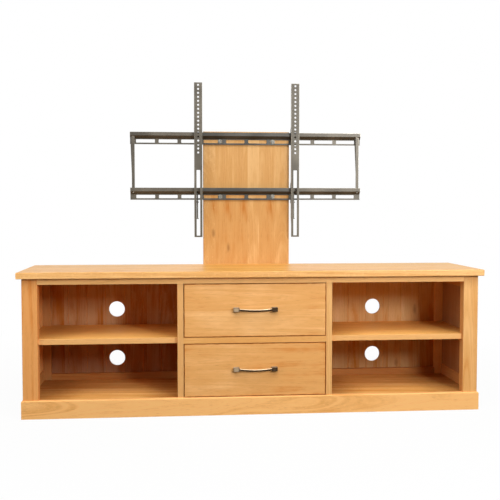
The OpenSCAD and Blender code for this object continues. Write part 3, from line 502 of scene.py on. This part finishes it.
def oak_finish(name, box, along, across, seams=(), shade=0.0, figure=1.0, wander=0.014, seam=0.25,
               tones=None, knots=(), rays=0.12, clouds=1.0, edges=0.14, gloss=0.22, rough=0.56, **tints_and_shades):
    """Lacquered oak with its grain along one axis, glued up from some boards across another."""
    material, oak = new_finish("oak_" + name)
    chance = random.Random(name)
    start = chance.uniform(0.0, 40.0)
    deep = ({"X", "Y", "Z"} - {along, across}).pop()
    place = oak.outputs("SeparateXYZ", values=[oak.node("TexCoord", out=3)])
    board, draws = board_of(oak, place, along, across, deep, box, seams, chance)
    rings = ring_distance(oak, board, draws, wander, chance)
    to_knots = [knot_distance(place, along, across, middle) for middle in knots]
    for to_knot in to_knots:
        rings = rings + oak.step(to_knot, KNOT_REACH, 0.0) * KNOT_PUSH
    tone, fine = oak_tone(oak, board, rings, start, figure, clouds)
    spread = GLUED_SPREAD if seams and not tones else SINGLE_SPREAD
    tone = tone + (draws[0] - 0.5) * spread + shade
    for number, change in (tones or {}).items():
        tone = tone + board["number"].equals(float(number)) * change
    pores = oak_pores(oak, board, fine, start)
    flecks = oak_flecks(oak, board, draws, start)
    edge = edge_distance(oak, place, box)
    rub = oak.noise(place["X"] * 40.0, place["Y"] * 40.0, place["Z"] * 40.0, detail=2.0)
    edge_wear_and_shade = oak.step(edge + (rub - 0.5) * (4 * MM), 2.2 * MM, 0.2 * MM)
    tone = tone + flecks * rays + edge_wear_and_shade * edges

    colour = oak_colour(oak, tone, pores, to_knots, rub)
    if seams:
        to_seam = (board["side"].size() - board["half"]).size()
        colour = oak.blend(oak.step(to_seam, SEAM_WIDTH, 0.0) * seam, colour, PORE_BROWN)
    colour = oak_tints_and_shades(oak, colour, place, rub, **tints_and_shades)
    # A negative edges value paints the edges dark: painted shade of the gaps around a drawer front.
    if edges < 0:
        colour = oak.blend(edge_wear_and_shade * -edges, colour, PORE_BROWN)
    roughness = rough + (rub - 0.5) * 0.16 + pores * 0.12 - edge_wear_and_shade * 0.06
    relief = oak.bump(fine * 0.25 - pores, 0.12 * MM, 0.5)
    shader = oak.node("BsdfPrincipled", values={
        "Base Color": colour, "Roughness": roughness, "Normal": relief,
        "IOR": 1.45, "Specular IOR Level": gloss, "Coat Weight": 0.15 * gloss, "Coat Roughness": 0.35})
    oak.show(shader)
    return material


print("oak tones from", [round(c, 2) for c in DARK_OAK[:3]], "to", [round(c, 2) for c in PALE_OAK[:3]])

# %% [markdown]
# ## Which way the grain runs
# A joiner lets the grain run the long way of every piece, since that is where the wood is strong, and
# glues wide panels from boards of 50 to 140 mm. So the table names, for each piece, the grain's axis, the
# axis across the boards, and either about how wide a board is or where each seam lies. The top board, the
# shelves and the plinth got the palest wood, and the back panels darker boards. Inside, the lacquer is dull,
# so a shelf doesn't mirror the light that comes through a cable hole. The top board's upper face is polished.
# The top board and the shelves have painted shade on their upper faces, so their edges are lighter, and the
# shelves and the floor have painted shade at the ends of each bay while the middle stays bright. The edges of
# the drawer fronts are painted dark, as the shade in the gaps around them.

# %% Give the oak pieces their finish
def each_side(*names):
    """The names of pieces that come as a left and a right one."""
    return [f"{name}_{side}" for name in names for side in ("left", "right")]


def each_drawer(*names):
    """The names of pieces that both drawers have."""
    return [f"{name}_{drawer}" for name in names for drawer in ("upper", "lower")]


OAK_PIECES = [
    # The top board and the shelves are tinted paler all over and given painted shade on what looks up, so
    # their front edges are lighter than their upper faces.
    (["top_board"], "X", "Y", 0.090, {"shade": 0.36, "figure": 1.3, "gloss": 0.39, "rough": 0.38,
                                     "tint": (1.20, 1.29, 1.36), "upward_shade": (0.79, 0.695, 0.43)}),
    # Painted shade at the ends of each bay, on the floor and on the shelves.
    (["bottom_board"], "X", "Y", 0.085, {"figure": 2.1, "gloss": 0.02, "tint": (1.0, 1.07, 1.06),
                                         "ends": (0.56, 0.50, 0.46)}),
    (each_side("shelf"), "X", "Y", 0.085, {"shade": 0.60, "figure": 1.8, "gloss": 0.02,
                                           "tint": (1.12, 1.14, 1.18), "upward_shade": (0.90, 0.87, 0.66),
                                           "ends": (0.66, 0.62, 0.58)}),
    # The front top rail's wood is made paler as painted light, which takes back the shade under the top
    # board's overhang.
    (["front_top_rail"], "X", "Z", 0.0, {"shade": 0.4}),
    (["drawer_rail"], "X", "Z", 0.0, {"shade": 0.1}),
    # Painted light and shade: the rails, posts and panels below and the pylon board carry a tint only on the
    # faces seen from the front; values below one paint shade, values above one paint light.
    (["back_top_rail", "back_bottom_rail"], "X", "Z", 0.0, {"tint": (0.60, 0.51, 0.46),
                                                            "tint_is_painted_light": True}),
    (["plinth_front"], "X", "Z", 0.0, {"figure": 2.0, "wander": 0.034, "shade": 0.40, "clouds": 1.4,
                                       "tint": (1.06, 1.02, 0.98)}),
    # The drawer fronts' dark edges are painted shade of the gaps around them.
    (each_drawer("drawer_front"), "X", "Z", 0.105,
     {"figure": 0.75, "seam": 0.08, "clouds": 1.9, "edges": -0.7, "tint": (1.01, 1.02, 1.12)}),
    (each_drawer("drawer_back"), "X", "Z", 0.0, {"shade": 0.12}),
    (each_drawer("drawer_bottom"), "X", "Y", 0.0, {"shade": 0.14, "figure": 0.6}),
    (["front_post_left"], "Z", "X", 0.0, {"figure": 1.3, "tint": (1.05, 0.96, 1.0)}),
    (["front_post_right"], "Z", "X", 0.0, {"figure": 1.3, "tint": (0.98, 1.02, 1.14)}),
    (["rear_post_left"], "Z", "X", 0.0, {"figure": 0.8, "gloss": 0.02, "tint": (0.63, 0.60, 0.72),
                                         "tint_is_painted_light": True}),
    # Painted light on the right rear post, inside the bay.
    (["rear_post_right"], "Z", "X", 0.0, {"figure": 0.8, "gloss": 0.02, "tint": (1.05, 1.20, 1.60),
                                          "tint_is_painted_light": True}),
    (["divider_left"], "Z", "Y", 0.085, {"shade": 0.32}),
    (["divider_right"], "Z", "Y", 0.085, {"shade": 0.32, "tint": (1.06, 1.11, 1.14)}),
    # Painted light on the left side panel's inner face, painted shade on the right one's.
    (["side_panel_left"], "Z", "Y", 0.085, {"tint": (1.12, 1.16, 1.4), "tint_is_painted_light": True}),
    (["side_panel_right"], "Z", "Y", 0.085, {"tint": (0.50, 0.48, 0.64), "tint_is_painted_light": True}),
    # The back panels' tint is painted light and shade inside the bays, and they are painted darker low down
    # in the lower bays, as painted shade.
    (["back_panel_left"], "Z", "X", [-0.821, -0.766, -0.648, -0.525, -0.453, -0.399],
     {"shade": -0.14, "figure": 1.2, "clouds": 1.5, "seam": 0.5, "gloss": 0.02, "tint": (0.76, 0.87, 1.5),
      "low_shade": (0.30, (0.66, 0.58, 0.62)), "tint_is_painted_light": True,
      "tones": {0: -0.16, 1: 0.12, 4: -0.06, 6: -0.08}}),
    (["back_panel_centre"], "Z", "X", 0.082, {"shade": -0.16, "seam": 0.5}),
    (["back_panel_right"], "Z", "X", [0.399, 0.454, 0.525, 0.661, 0.718, 0.816],
     {"shade": -0.06, "figure": 1.1, "clouds": 1.3, "seam": 0.5, "gloss": 0.02, "tint": (0.90, 1.14, 1.75),
      "low_shade": (0.30, (0.80, 0.80, 0.84)), "tint_is_painted_light": True,
      "tones": {1: 0.14, 2: -0.04, 3: 0.04, 4: 0.08, 6: -0.24}, "knots": [(0.372, 0.786), (0.124, 0.700)]}),
    # Painted shade on the pylon board's front.
    (["pylon_board"], "Z", "X", [-0.141, -0.065, 0.006, 0.059, 0.125],
     {"shade": 0.03, "figure": 0.8, "wander": 0.04, "seam": 0.08, "rays": 0.2, "clouds": 2.2,
      "tint": (0.72, 0.77, 0.86), "tint_is_painted_light": True, "tones": {3: 0.17, 4: -0.06, 5: 0.10},
      "knots": [(0.729, -0.150), (0.660, -0.083)]}),
    (each_side("side_top_rail", "side_bottom_rail"), "Y", "Z", 0.0, {"tint": (0.76, 0.74, 0.80),
                                                                     "tint_is_painted_light": True}),
    (each_side("plinth"), "Y", "Z", 0.0, {"shade": 0.2}),
    (each_side("shelf_cleat", "base_bearer", "runner_upper", "runner_lower"), "Y", "Z", 0.0, {}),
    (each_drawer(*each_side("drawer_side")), "Y", "Z", 0.0, {"shade": 0.12}),
]


def even_seams(low, high, board_width):
    """Where the seams lie when a panel is made of equal boards of about one width."""
    count = max(1, round((high - low) / board_width)) if board_width else 1
    return [low + number * (high - low) / count for number in range(1, count)]


def give_finish(name, material):
    """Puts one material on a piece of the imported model, on every slot that it has."""
    mesh = nodes[name].data
    if not mesh.materials:
        mesh.materials.append(material)
    for place in range(len(mesh.materials)):
        mesh.materials[place] = material


for names, along, across, boards, choices in OAK_PIECES:
    for name in names:
        low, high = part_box(name)
        axis = "XYZ".index(across)
        seams = boards if isinstance(boards, list) else even_seams(low[axis], high[axis], boards)
        give_finish(name, oak_finish(name, (low, high), along, across, seams, **choices))
oak_count = sum(len(names) for names, *rest in OAK_PIECES)
print("oak pieces:", oak_count, "of", len(nodes))

# %% [markdown]
# ## The steel of the bracket
# The rails, end bars and arms are pressed from sheet steel and powder coated in a dark grey with a little
# metal in it. Such a coat has a fine pebbled skin and rubs through to brighter grey along the folds. The
# rails' middle, between the arms, is painted darker and bluer: that is painted shade. A paint-like base
# with some metallic share gives the soft sheen, and the skin comes from fine noise in the bump.

# %% The steel function
STEEL_GREY = seen(97, 91, 80)
STEEL_DARK = seen(72, 67, 58)
STEEL_RUBBED = seen(150, 142, 128)
STEEL_SHADED = (0.60, 0.65, 0.74)
ARM_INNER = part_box("arm_right")[0].x


def steel_finish(name, box):
    """Powder coated sheet steel, rubbed along its edges, with painted shade on the rails between the arms."""
    material, steel = new_finish("steel_" + name)
    place = steel.outputs("SeparateXYZ", values=[steel.node("TexCoord", out=3)])
    x, y, z = place["X"], place["Y"], place["Z"]
    start = random.Random(name).uniform(0.0, 40.0)
    cloud = steel.noise(x * 9.0 + start, y * 9.0, z * 9.0, detail=3.0)
    skin = steel.noise(x * 900.0, y * 900.0, z * 900.0, detail=1.0)
    scratch = steel.noise(x * 22.0, y * 300.0, z * 1400.0 + start, detail=1.0)
    edge = edge_distance(steel, place, box)
    rubbed = steel.step(edge + (cloud - 0.5) * (3 * MM), 1.4 * MM, 0.1 * MM)
    rubbed = rubbed.most(steel.step(scratch, 0.70, 0.78) * 0.35)
    colour = steel.blend(steel.step(cloud, 0.3, 0.7), STEEL_DARK, STEEL_GREY)
    colour = steel.blend(rubbed * 0.6, colour, STEEL_RUBBED)
    # Painted shade: the rails are painted darker and bluer between the arms.
    if "rail" in name:
        between = steel.step(x.size(), ARM_INNER + 7 * MM, ARM_INNER - 5 * MM)
        colour = multiply_colour(steel, between, colour, STEEL_SHADED)
    roughness = 0.42 + (cloud - 0.5) * 0.2 - rubbed * 0.12
    metallic = 0.45 + rubbed * 0.4
    relief = steel.bump(skin, 0.05 * MM, 0.35)
    steel.show(steel.node("BsdfPrincipled", values={
        "Base Color": colour, "Roughness": roughness, "Metallic": metallic, "Normal": relief,
        "Coat Weight": 0.12, "Coat Roughness": 0.3}))
    return material


STEEL_PIECES = ["bracket_rail_upper", "bracket_rail_lower", *each_side("end_bar", "arm")]
for name in STEEL_PIECES:
    give_finish(name, steel_finish(name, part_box(name)))
print("steel pieces:", STEEL_PIECES)

# %% [markdown]
# ## Zinc and pewter
# The bolts and screws are zinc plated, and the plating has gone grey with duller patches. The handles are an
# antique pewter: the metal was blackened, and the bow's upper side and the left cap are painted bright, a
# painted highlight with some wear. Both are true metals, so the metallic value is one and the patterns go
# into colour and roughness.

# %% The two metals
ZINC_DULL = seen(98, 95, 88)
ZINC_BRIGHT = seen(132, 129, 121)
PEWTER_BLACK = seen(64, 50, 38)
PEWTER_WORN_AND_LIT = seen(206, 180, 146)
BOW_HALF = 69 * MM
BOW_BRIGHT_HALF = 62 * MM
CAP_INNER = -60 * MM
CAP_MIDDLE = -76 * MM


def zinc_finish():
    """Zinc plating with dull patches."""
    material, zinc = new_finish("zinc_plate")
    place = zinc.outputs("SeparateXYZ", values=[zinc.node("TexCoord", out=3)])
    x, y, z = place["X"], place["Y"], place["Z"]
    patch = zinc.noise(x * 160.0, y * 160.0, z * 160.0, detail=3.0)
    grit = zinc.noise(x * 1900.0, y * 1900.0, z * 1900.0, detail=1.0)
    colour = zinc.blend(zinc.step(patch, 0.35, 0.65), ZINC_DULL, ZINC_BRIGHT)
    roughness = 0.36 + (patch - 0.5) * 0.3 + (grit - 0.5) * 0.15
    zinc.show(zinc.node("BsdfPrincipled", values={
        "Base Color": colour, "Roughness": roughness, "Metallic": 1.0,
        "Normal": zinc.bump(grit, 0.02 * MM, 0.3)}))
    return material


def pewter_finish():
    """Blackened pewter, with a painted highlight and some wear on the bow's upper side and on the left cap.
    """
    material, pewter = new_finish("pewter")
    place = pewter.outputs("SeparateXYZ", values=[pewter.node("TexCoord", out=3)])
    facing = pewter.outputs("SeparateXYZ", values=[pewter.node("TexCoord", out=1)])
    x, y, z = place["X"], place["Y"], place["Z"]
    cloud = pewter.noise(x * 70.0, y * 70.0, z * 70.0, detail=4.0)
    grit = pewter.noise(x * 1500.0, y * 1500.0, z * 1500.0, detail=2.0)
    brush = pewter.noise(x * 60.0, y * 1700.0, z * 1700.0, detail=1.0)
    bow = pewter.step(x.size(), BOW_HALF, BOW_BRIGHT_HALF)
    left_cap_highlight = pewter.step(x, CAP_INNER, CAP_MIDDLE) * pewter.step(facing["Y"], -0.6, -0.95)
    highlight_noise = (cloud - 0.5) * 0.6 + (brush - 0.5) * 0.3
    # Painted highlight with some wear: what looks up on the bow, and the left cap's front, are painted
    # bright.
    rubbed = pewter.step(facing["Z"] + highlight_noise, 0.0, 0.6) * (bow * 0.8 + 0.2)
    rubbed = rubbed.most(left_cap_highlight * 0.6 + highlight_noise * 0.4)
    colour = pewter.blend(rubbed, PEWTER_BLACK, PEWTER_WORN_AND_LIT)
    roughness = 0.42 - rubbed * 0.12 + (grit - 0.5) * 0.15
    pewter.show(pewter.node("BsdfPrincipled", values={
        "Base Color": colour, "Roughness": roughness, "Metallic": 1.0,
        "Normal": pewter.bump(grit * 0.6 + brush * 0.4, 0.04 * MM, 0.5)}))
    return material


zinc_plate = zinc_finish()
pewter_skin = pewter_finish()
ZINC_PIECES = ["pylon_bolts", "rail_bolts", "end_bar_screws", *each_drawer("handle_screws"),
               *each_side("arm_bolt")]
for name in ZINC_PIECES:
    give_finish(name, zinc_plate)
print("zinc pieces:", ZINC_PIECES)

# %% The pieces that are left get a new shape
named = [name for names, *rest in OAK_PIECES for name in names] + STEEL_PIECES + ZINC_PIECES
print("pieces that get a new shape:", sorted(set(nodes) - set(named)))

# %% [markdown]
# ## From a shape to a piece
# The pieces below are shaped with mesh operators, at their real place, so that every object can stay at the
# origin and the patterns of its finish fit. When a shape is done, doubled corners are merged and the faces
# turned outwards. The piece then rides on the body that it is fixed to, so it moves with a drawer. A closed
# shape has two faces at every edge, which is counted each time.

# %% Make a piece and let it ride
def make_piece(name, shape, material, body):
    """Turns a finished shape into an object that moves with one body of the cabinet."""
    bmesh.ops.remove_doubles(shape, verts=shape.verts, dist=0.005 * MM)
    bmesh.ops.recalc_face_normals(shape, faces=shape.faces)
    open_edges = sum(len(edge.link_faces) != 2 for edge in shape.edges)
    for face in shape.faces:
        face.smooth = True
    mesh = bpy.data.meshes.new(name)
    shape.to_mesh(mesh)
    shape.free()
    mesh.set_sharp_from_angle(angle=math.radians(35))
    mesh.materials.append(material)
    piece = bpy.data.objects.new(name, mesh)
    scene.collection.objects.link(piece)
    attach(piece, body)
    print(name, "has", len(mesh.polygons), "faces,", open_edges, "edges are open")
    return piece


# %% [markdown]
# ## The handles
# A handle has two cast feet and a bow between them. A foot starts as a block with rounded corners. Its front
# face is then drawn out step by step and scaled each time: a flat plate on the drawer, a narrower neck, a
# square cap and a small chamfer. The other foot is its mirror image. The bow is an oval ring that is spun
# through an arc, and its ends are closed inside the feet. Then it is turned about its ends, so that it
# hangs a little.

# %% The steps of a foot: how far out, how wide and how high, in millimetres
FOOT_STEPS = [(2.2, 24, 18), (3.2, 21, 15), (6.8, 20, 14), (8.0, 23.4, 17.4), (17.4, 23.4, 17.4),
              (19, 20.4, 14.4)]
FOOT_CORNER = 2 * MM
FOOT_FROM_MIDDLE = 78 * MM
BOW_RISE = 12 * MM
BOW_OUT = 28 * MM
BOW_THICK = 7 * MM
BOW_HIGH = 11 * MM
BOW_HANGS = math.radians(16)


def add_foot(shape):
    """Shapes the left foot on a drawer front that stands at the origin."""
    out, wide, high = FOOT_STEPS[0]
    corners = bmesh.ops.create_cube(shape, size=1.0)["verts"]
    bmesh.ops.scale(shape, vec=(wide * MM, out * MM, high * MM), verts=corners)
    standing = [edge for edge in shape.edges if abs(edge.verts[0].co.y - edge.verts[1].co.y) > MM]
    bmesh.ops.bevel(shape, geom=standing, affect="EDGES", offset=FOOT_CORNER, segments=3, profile=0.5,
                    material=-1)
    bmesh.ops.translate(shape, vec=(0.0, -out / 2 * MM, 0.0), verts=shape.verts)
    front = min(shape.faces, key=lambda face: face.calc_center_median().y)
    for next_out, next_wide, next_high in FOOT_STEPS[1:]:
        front = bmesh.ops.extrude_discrete_faces(shape, faces=[front])["faces"][0]
        bmesh.ops.scale(shape, vec=(next_wide / wide, 1.0, next_high / high), verts=front.verts)
        bmesh.ops.translate(shape, vec=(0.0, (out - next_out) * MM, 0.0), verts=front.verts)
        out, wide, high = next_out, next_wide, next_high
    bmesh.ops.translate(shape, vec=(-FOOT_FROM_MIDDLE, 0.0, 0.0), verts=shape.verts)


def add_bow(shape):
    """Spins an oval ring from foot to foot, through an arc that bulges out and hangs a little."""
    before = set(shape.verts)
    radius = (BOW_HALF * BOW_HALF + BOW_RISE * BOW_RISE) / (2 * BOW_RISE)
    half_turn = math.asin(BOW_HALF / radius)
    centre = Vector((0.0, radius - BOW_OUT, 0.0))
    upright = Matrix.Rotation(math.radians(90), 4, "Y")
    ring = bmesh.ops.create_circle(shape, segments=20, radius=0.5, matrix=upright)["verts"]
    bmesh.ops.scale(shape, vec=(1.0, BOW_THICK, BOW_HIGH), verts=ring)
    bmesh.ops.translate(shape, vec=(0.0, BOW_THICK / 2 - BOW_OUT, 0.0), verts=ring)
    bmesh.ops.rotate(shape, cent=centre, matrix=Matrix.Rotation(-half_turn, 3, "Z"), verts=ring)
    edges = list({edge for corner in ring for edge in corner.link_edges})
    bmesh.ops.spin(shape, geom=ring + edges, cent=centre, axis=(0.0, 0.0, 1.0), angle=2 * half_turn, steps=32,
                   use_merge=False)
    bmesh.ops.holes_fill(shape, edges=[edge for edge in shape.edges if edge.is_boundary], sides=0)
    own = [corner for corner in shape.verts if corner not in before]
    ends = (0.0, BOW_RISE + BOW_THICK / 2 - BOW_OUT, 0.0)
    bmesh.ops.rotate(shape, cent=ends, matrix=Matrix.Rotation(BOW_HANGS, 3, "X"), verts=own)


# %% Build the handles on their drawers
for drawer in ("upper", "lower"):
    low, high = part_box("handle_" + drawer)
    front_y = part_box("drawer_front_" + drawer)[0].y
    handle_shape = bmesh.new()
    add_foot(handle_shape)
    foot = [*handle_shape.verts, *handle_shape.edges, *handle_shape.faces]
    bmesh.ops.mirror(handle_shape, geom=foot, matrix=Matrix.Identity(4), merge_dist=0.0, axis="X")
    add_bow(handle_shape)
    bmesh.ops.translate(handle_shape, vec=(0.0, front_y, (low.z + high.z) / 2), verts=handle_shape.verts)
    handle = make_piece("cast_handle_" + drawer, handle_shape, pewter_skin, "drawer_" + drawer)
    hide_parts("handle_" + drawer)

# %% [markdown]
# ## Screws
# The small screws hold what isn't glued: the back panels, the battens under the shelves and the drawers'
# bottoms. A head is a low cone. A copy of its top face is drawn in, its diagonal corners are pulled to the
# middle, which leaves a cross, and the cross is sunk with slanted walls. Every head got its own turn, since
# nobody lines screws up inside a cabinet. Behind the pylon board there is no room for one.

# %% One screw head
HEAD_RADIUS = 3.4 * MM
HEAD_RISE = 1.2 * MM
TOP_SHARE = 0.8
RIM_LEFT = 0.72
CROSS_WAIST = 0.38
CROSS_TAPER = 0.7
CROSS_SUNK = 0.7
HEAD_OUT = 0.4


def add_screw(shape, place, out, chance):
    """Puts the head of a cross screw at a place, looking along one direction."""
    before = set(shape.verts)
    cone = bmesh.ops.create_cone(shape, cap_ends=True, segments=12, radius1=HEAD_RADIUS,
                                 radius2=TOP_SHARE * HEAD_RADIUS, depth=HEAD_RISE)["verts"]
    corner_first = Matrix.Rotation(math.radians(15), 3, "Z")
    bmesh.ops.rotate(shape, cent=(0.0, 0.0, 0.0), matrix=corner_first, verts=cone)
    faces = {face for corner in cone for face in corner.link_faces}
    top = max(faces, key=lambda face: face.calc_center_median().z)
    cross = bmesh.ops.extrude_discrete_faces(shape, faces=[top])["faces"][0]
    bmesh.ops.scale(shape, vec=(RIM_LEFT, RIM_LEFT, 1.0), verts=cross.verts)
    diagonal = [corner for corner in cross.verts
                if abs(abs(corner.co.x) - abs(corner.co.y)) < 0.1 * HEAD_RADIUS]
    bmesh.ops.scale(shape, vec=(CROSS_WAIST, CROSS_WAIST, 1.0), verts=diagonal)
    bottom = bmesh.ops.extrude_discrete_faces(shape, faces=[cross])["faces"][0]
    bmesh.ops.scale(shape, vec=(CROSS_TAPER, CROSS_TAPER, 1.0), verts=bottom.verts)
    bmesh.ops.translate(shape, vec=(0.0, 0.0, -CROSS_SUNK * HEAD_RISE), verts=bottom.verts)
    direction = Vector(out).to_track_quat("Z", "Y").to_matrix().to_4x4()
    turn = Matrix.Rotation(chance.uniform(0.0, math.tau), 4, "Z")
    sunk = Matrix.Translation((0.0, 0.0, HEAD_OUT * HEAD_RISE))
    head = [corner for corner in shape.verts if corner not in before]
    bmesh.ops.transform(shape, matrix=Matrix.Translation(place) @ direction @ turn @ sunk, verts=head)


# %% Screws in the back panels, the shelf battens and the drawers
SCREWS_APART = 0.082
SCREW_INSET = 4.8 * MM
PYLON_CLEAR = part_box("pylon_board")[1].x + 9 * MM
BATTEN_SHARES = (0.15, 0.5, 0.85)
BOTTOM_SCREWS = (-0.2, 0.0, 0.2)

turns = random.Random("screws")
screws = bmesh.new()
for name in ["back_panel_left", "back_panel_centre", "back_panel_right"]:
    low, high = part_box(name)
    count = round((high.x - low.x) / SCREWS_APART)
    for number in range(count):
        x = low.x + (number + 0.5) * (high.x - low.x) / count
        for z in (low.z + SCREW_INSET, high.z - SCREW_INSET):
            if abs(x) > PYLON_CLEAR:
                add_screw(screws, (x, high.y, z), (0.0, 1.0, 0.0), turns)
make_piece("back_screws", screws, zinc_plate, "cabinet")

screws = bmesh.new()
for side in (-1.0, 1.0):
    low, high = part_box("shelf_cleat_left" if side < 0 else "shelf_cleat_right")
    inner_x = high.x if side < 0 else low.x
    for share in BATTEN_SHARES:
        y = low.y + share * (high.y - low.y)
        add_screw(screws, (inner_x, y, (low.z + high.z) / 2), (-side, 0.0, 0.0), turns)
make_piece("batten_screws", screws, zinc_plate, "cabinet")

for drawer in ("upper", "lower"):
    back_low, back_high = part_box("drawer_back_" + drawer)
    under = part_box("drawer_bottom_" + drawer)[0].z
    screws = bmesh.new()
    for x in BOTTOM_SCREWS:
        add_screw(screws, (x, (back_low.y + back_high.y) / 2, under), (0.0, 0.0, -1.0), turns)
    make_piece("bottom_screws_" + drawer, screws, zinc_plate, "drawer_" + drawer)

# %% [markdown]
# ## Angle plates under the top
# A solid top moves with the seasons, so it isn't glued. It is held by small plates, bent from strip, with one
# leg on the inside of a rail and one leg under the top. The strip starts as a flat sheet whose edge is drawn
# down. That bend is rounded with a bevel, and the sheet is given its thickness. Each leg has one screw.

# %% One plate with its screws
PLATE_WIDE = 20 * MM
PLATE_LEG = 18 * MM
PLATE_THICK = 2 * MM
PLATE_BEND = 3 * MM
SCREW_DOWN_LEG = 0.62


def add_plate(shape, heads, place, turned):
    """Puts a bent plate into the corner under the top, where the rail's face looks along turned."""
    before = set(shape.verts)
    stand = Matrix.Translation(place) @ Matrix.Rotation(math.radians(turned), 4, "Z")
    sheet = bmesh.ops.create_grid(shape, x_segments=1, y_segments=1, size=0.5)["verts"]
    bmesh.ops.scale(shape, vec=(PLATE_WIDE, PLATE_LEG, 1.0), verts=sheet)
    bmesh.ops.translate(shape, vec=(0.0, PLATE_LEG / 2, 0.0), verts=sheet)
    edges = {edge for corner in sheet for edge in corner.link_edges}
    bend = min(edges, key=lambda edge: edge.verts[0].co.y + edge.verts[1].co.y)
    drawn = bmesh.ops.extrude_edge_only(shape, edges=[bend])["geom"]
    leg = [part for part in drawn if isinstance(part, bmesh.types.BMVert)]
    bmesh.ops.translate(shape, vec=(0.0, 0.0, -PLATE_LEG), verts=leg)
    bmesh.ops.bevel(shape, geom=[bend], affect="EDGES", offset=PLATE_BEND, segments=4, profile=0.5,
                    material=-1)
    own = [corner for corner in shape.verts if corner not in before]
    faces = list({face for corner in own for face in corner.link_faces})
    bmesh.ops.recalc_face_normals(shape, faces=faces)
    bmesh.ops.solidify(shape, geom=faces, thickness=PLATE_THICK)
    own = [corner for corner in shape.verts if corner not in before]
    bmesh.ops.transform(shape, matrix=stand, verts=own)
    reach = SCREW_DOWN_LEG * PLATE_LEG
    add_screw(heads, stand @ Vector((0.0, reach, -PLATE_THICK)), (0.0, 0.0, -1.0), turns)
    out = stand.to_3x3() @ Vector((0.0, 1.0, 0.0))
    add_screw(heads, stand @ Vector((0.0, PLATE_THICK, -reach)), out, turns)


# %% Plates along the four rails under the top
PLATES_ALONG = (-0.76, -0.43, 0.0, 0.43, 0.76)
PLATES_DEEP = (-0.06, 0.08)

under_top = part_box("top_board")[0].z
plates = bmesh.new()
heads = bmesh.new()
for x in PLATES_ALONG:
    add_plate(plates, heads, (x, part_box("front_top_rail")[1].y, under_top), 0.0)
    add_plate(plates, heads, (x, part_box("back_top_rail")[0].y, under_top), 180.0)
for y in PLATES_DEEP:
    add_plate(plates, heads, (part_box("side_top_rail_left")[1].x, y, under_top), -90.0)
    add_plate(plates, heads, (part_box("side_top_rail_right")[0].x, y, under_top), 90.0)
make_piece("top_plates", plates, zinc_plate, "cabinet")
make_piece("top_plate_screws", heads, zinc_plate, "cabinet")
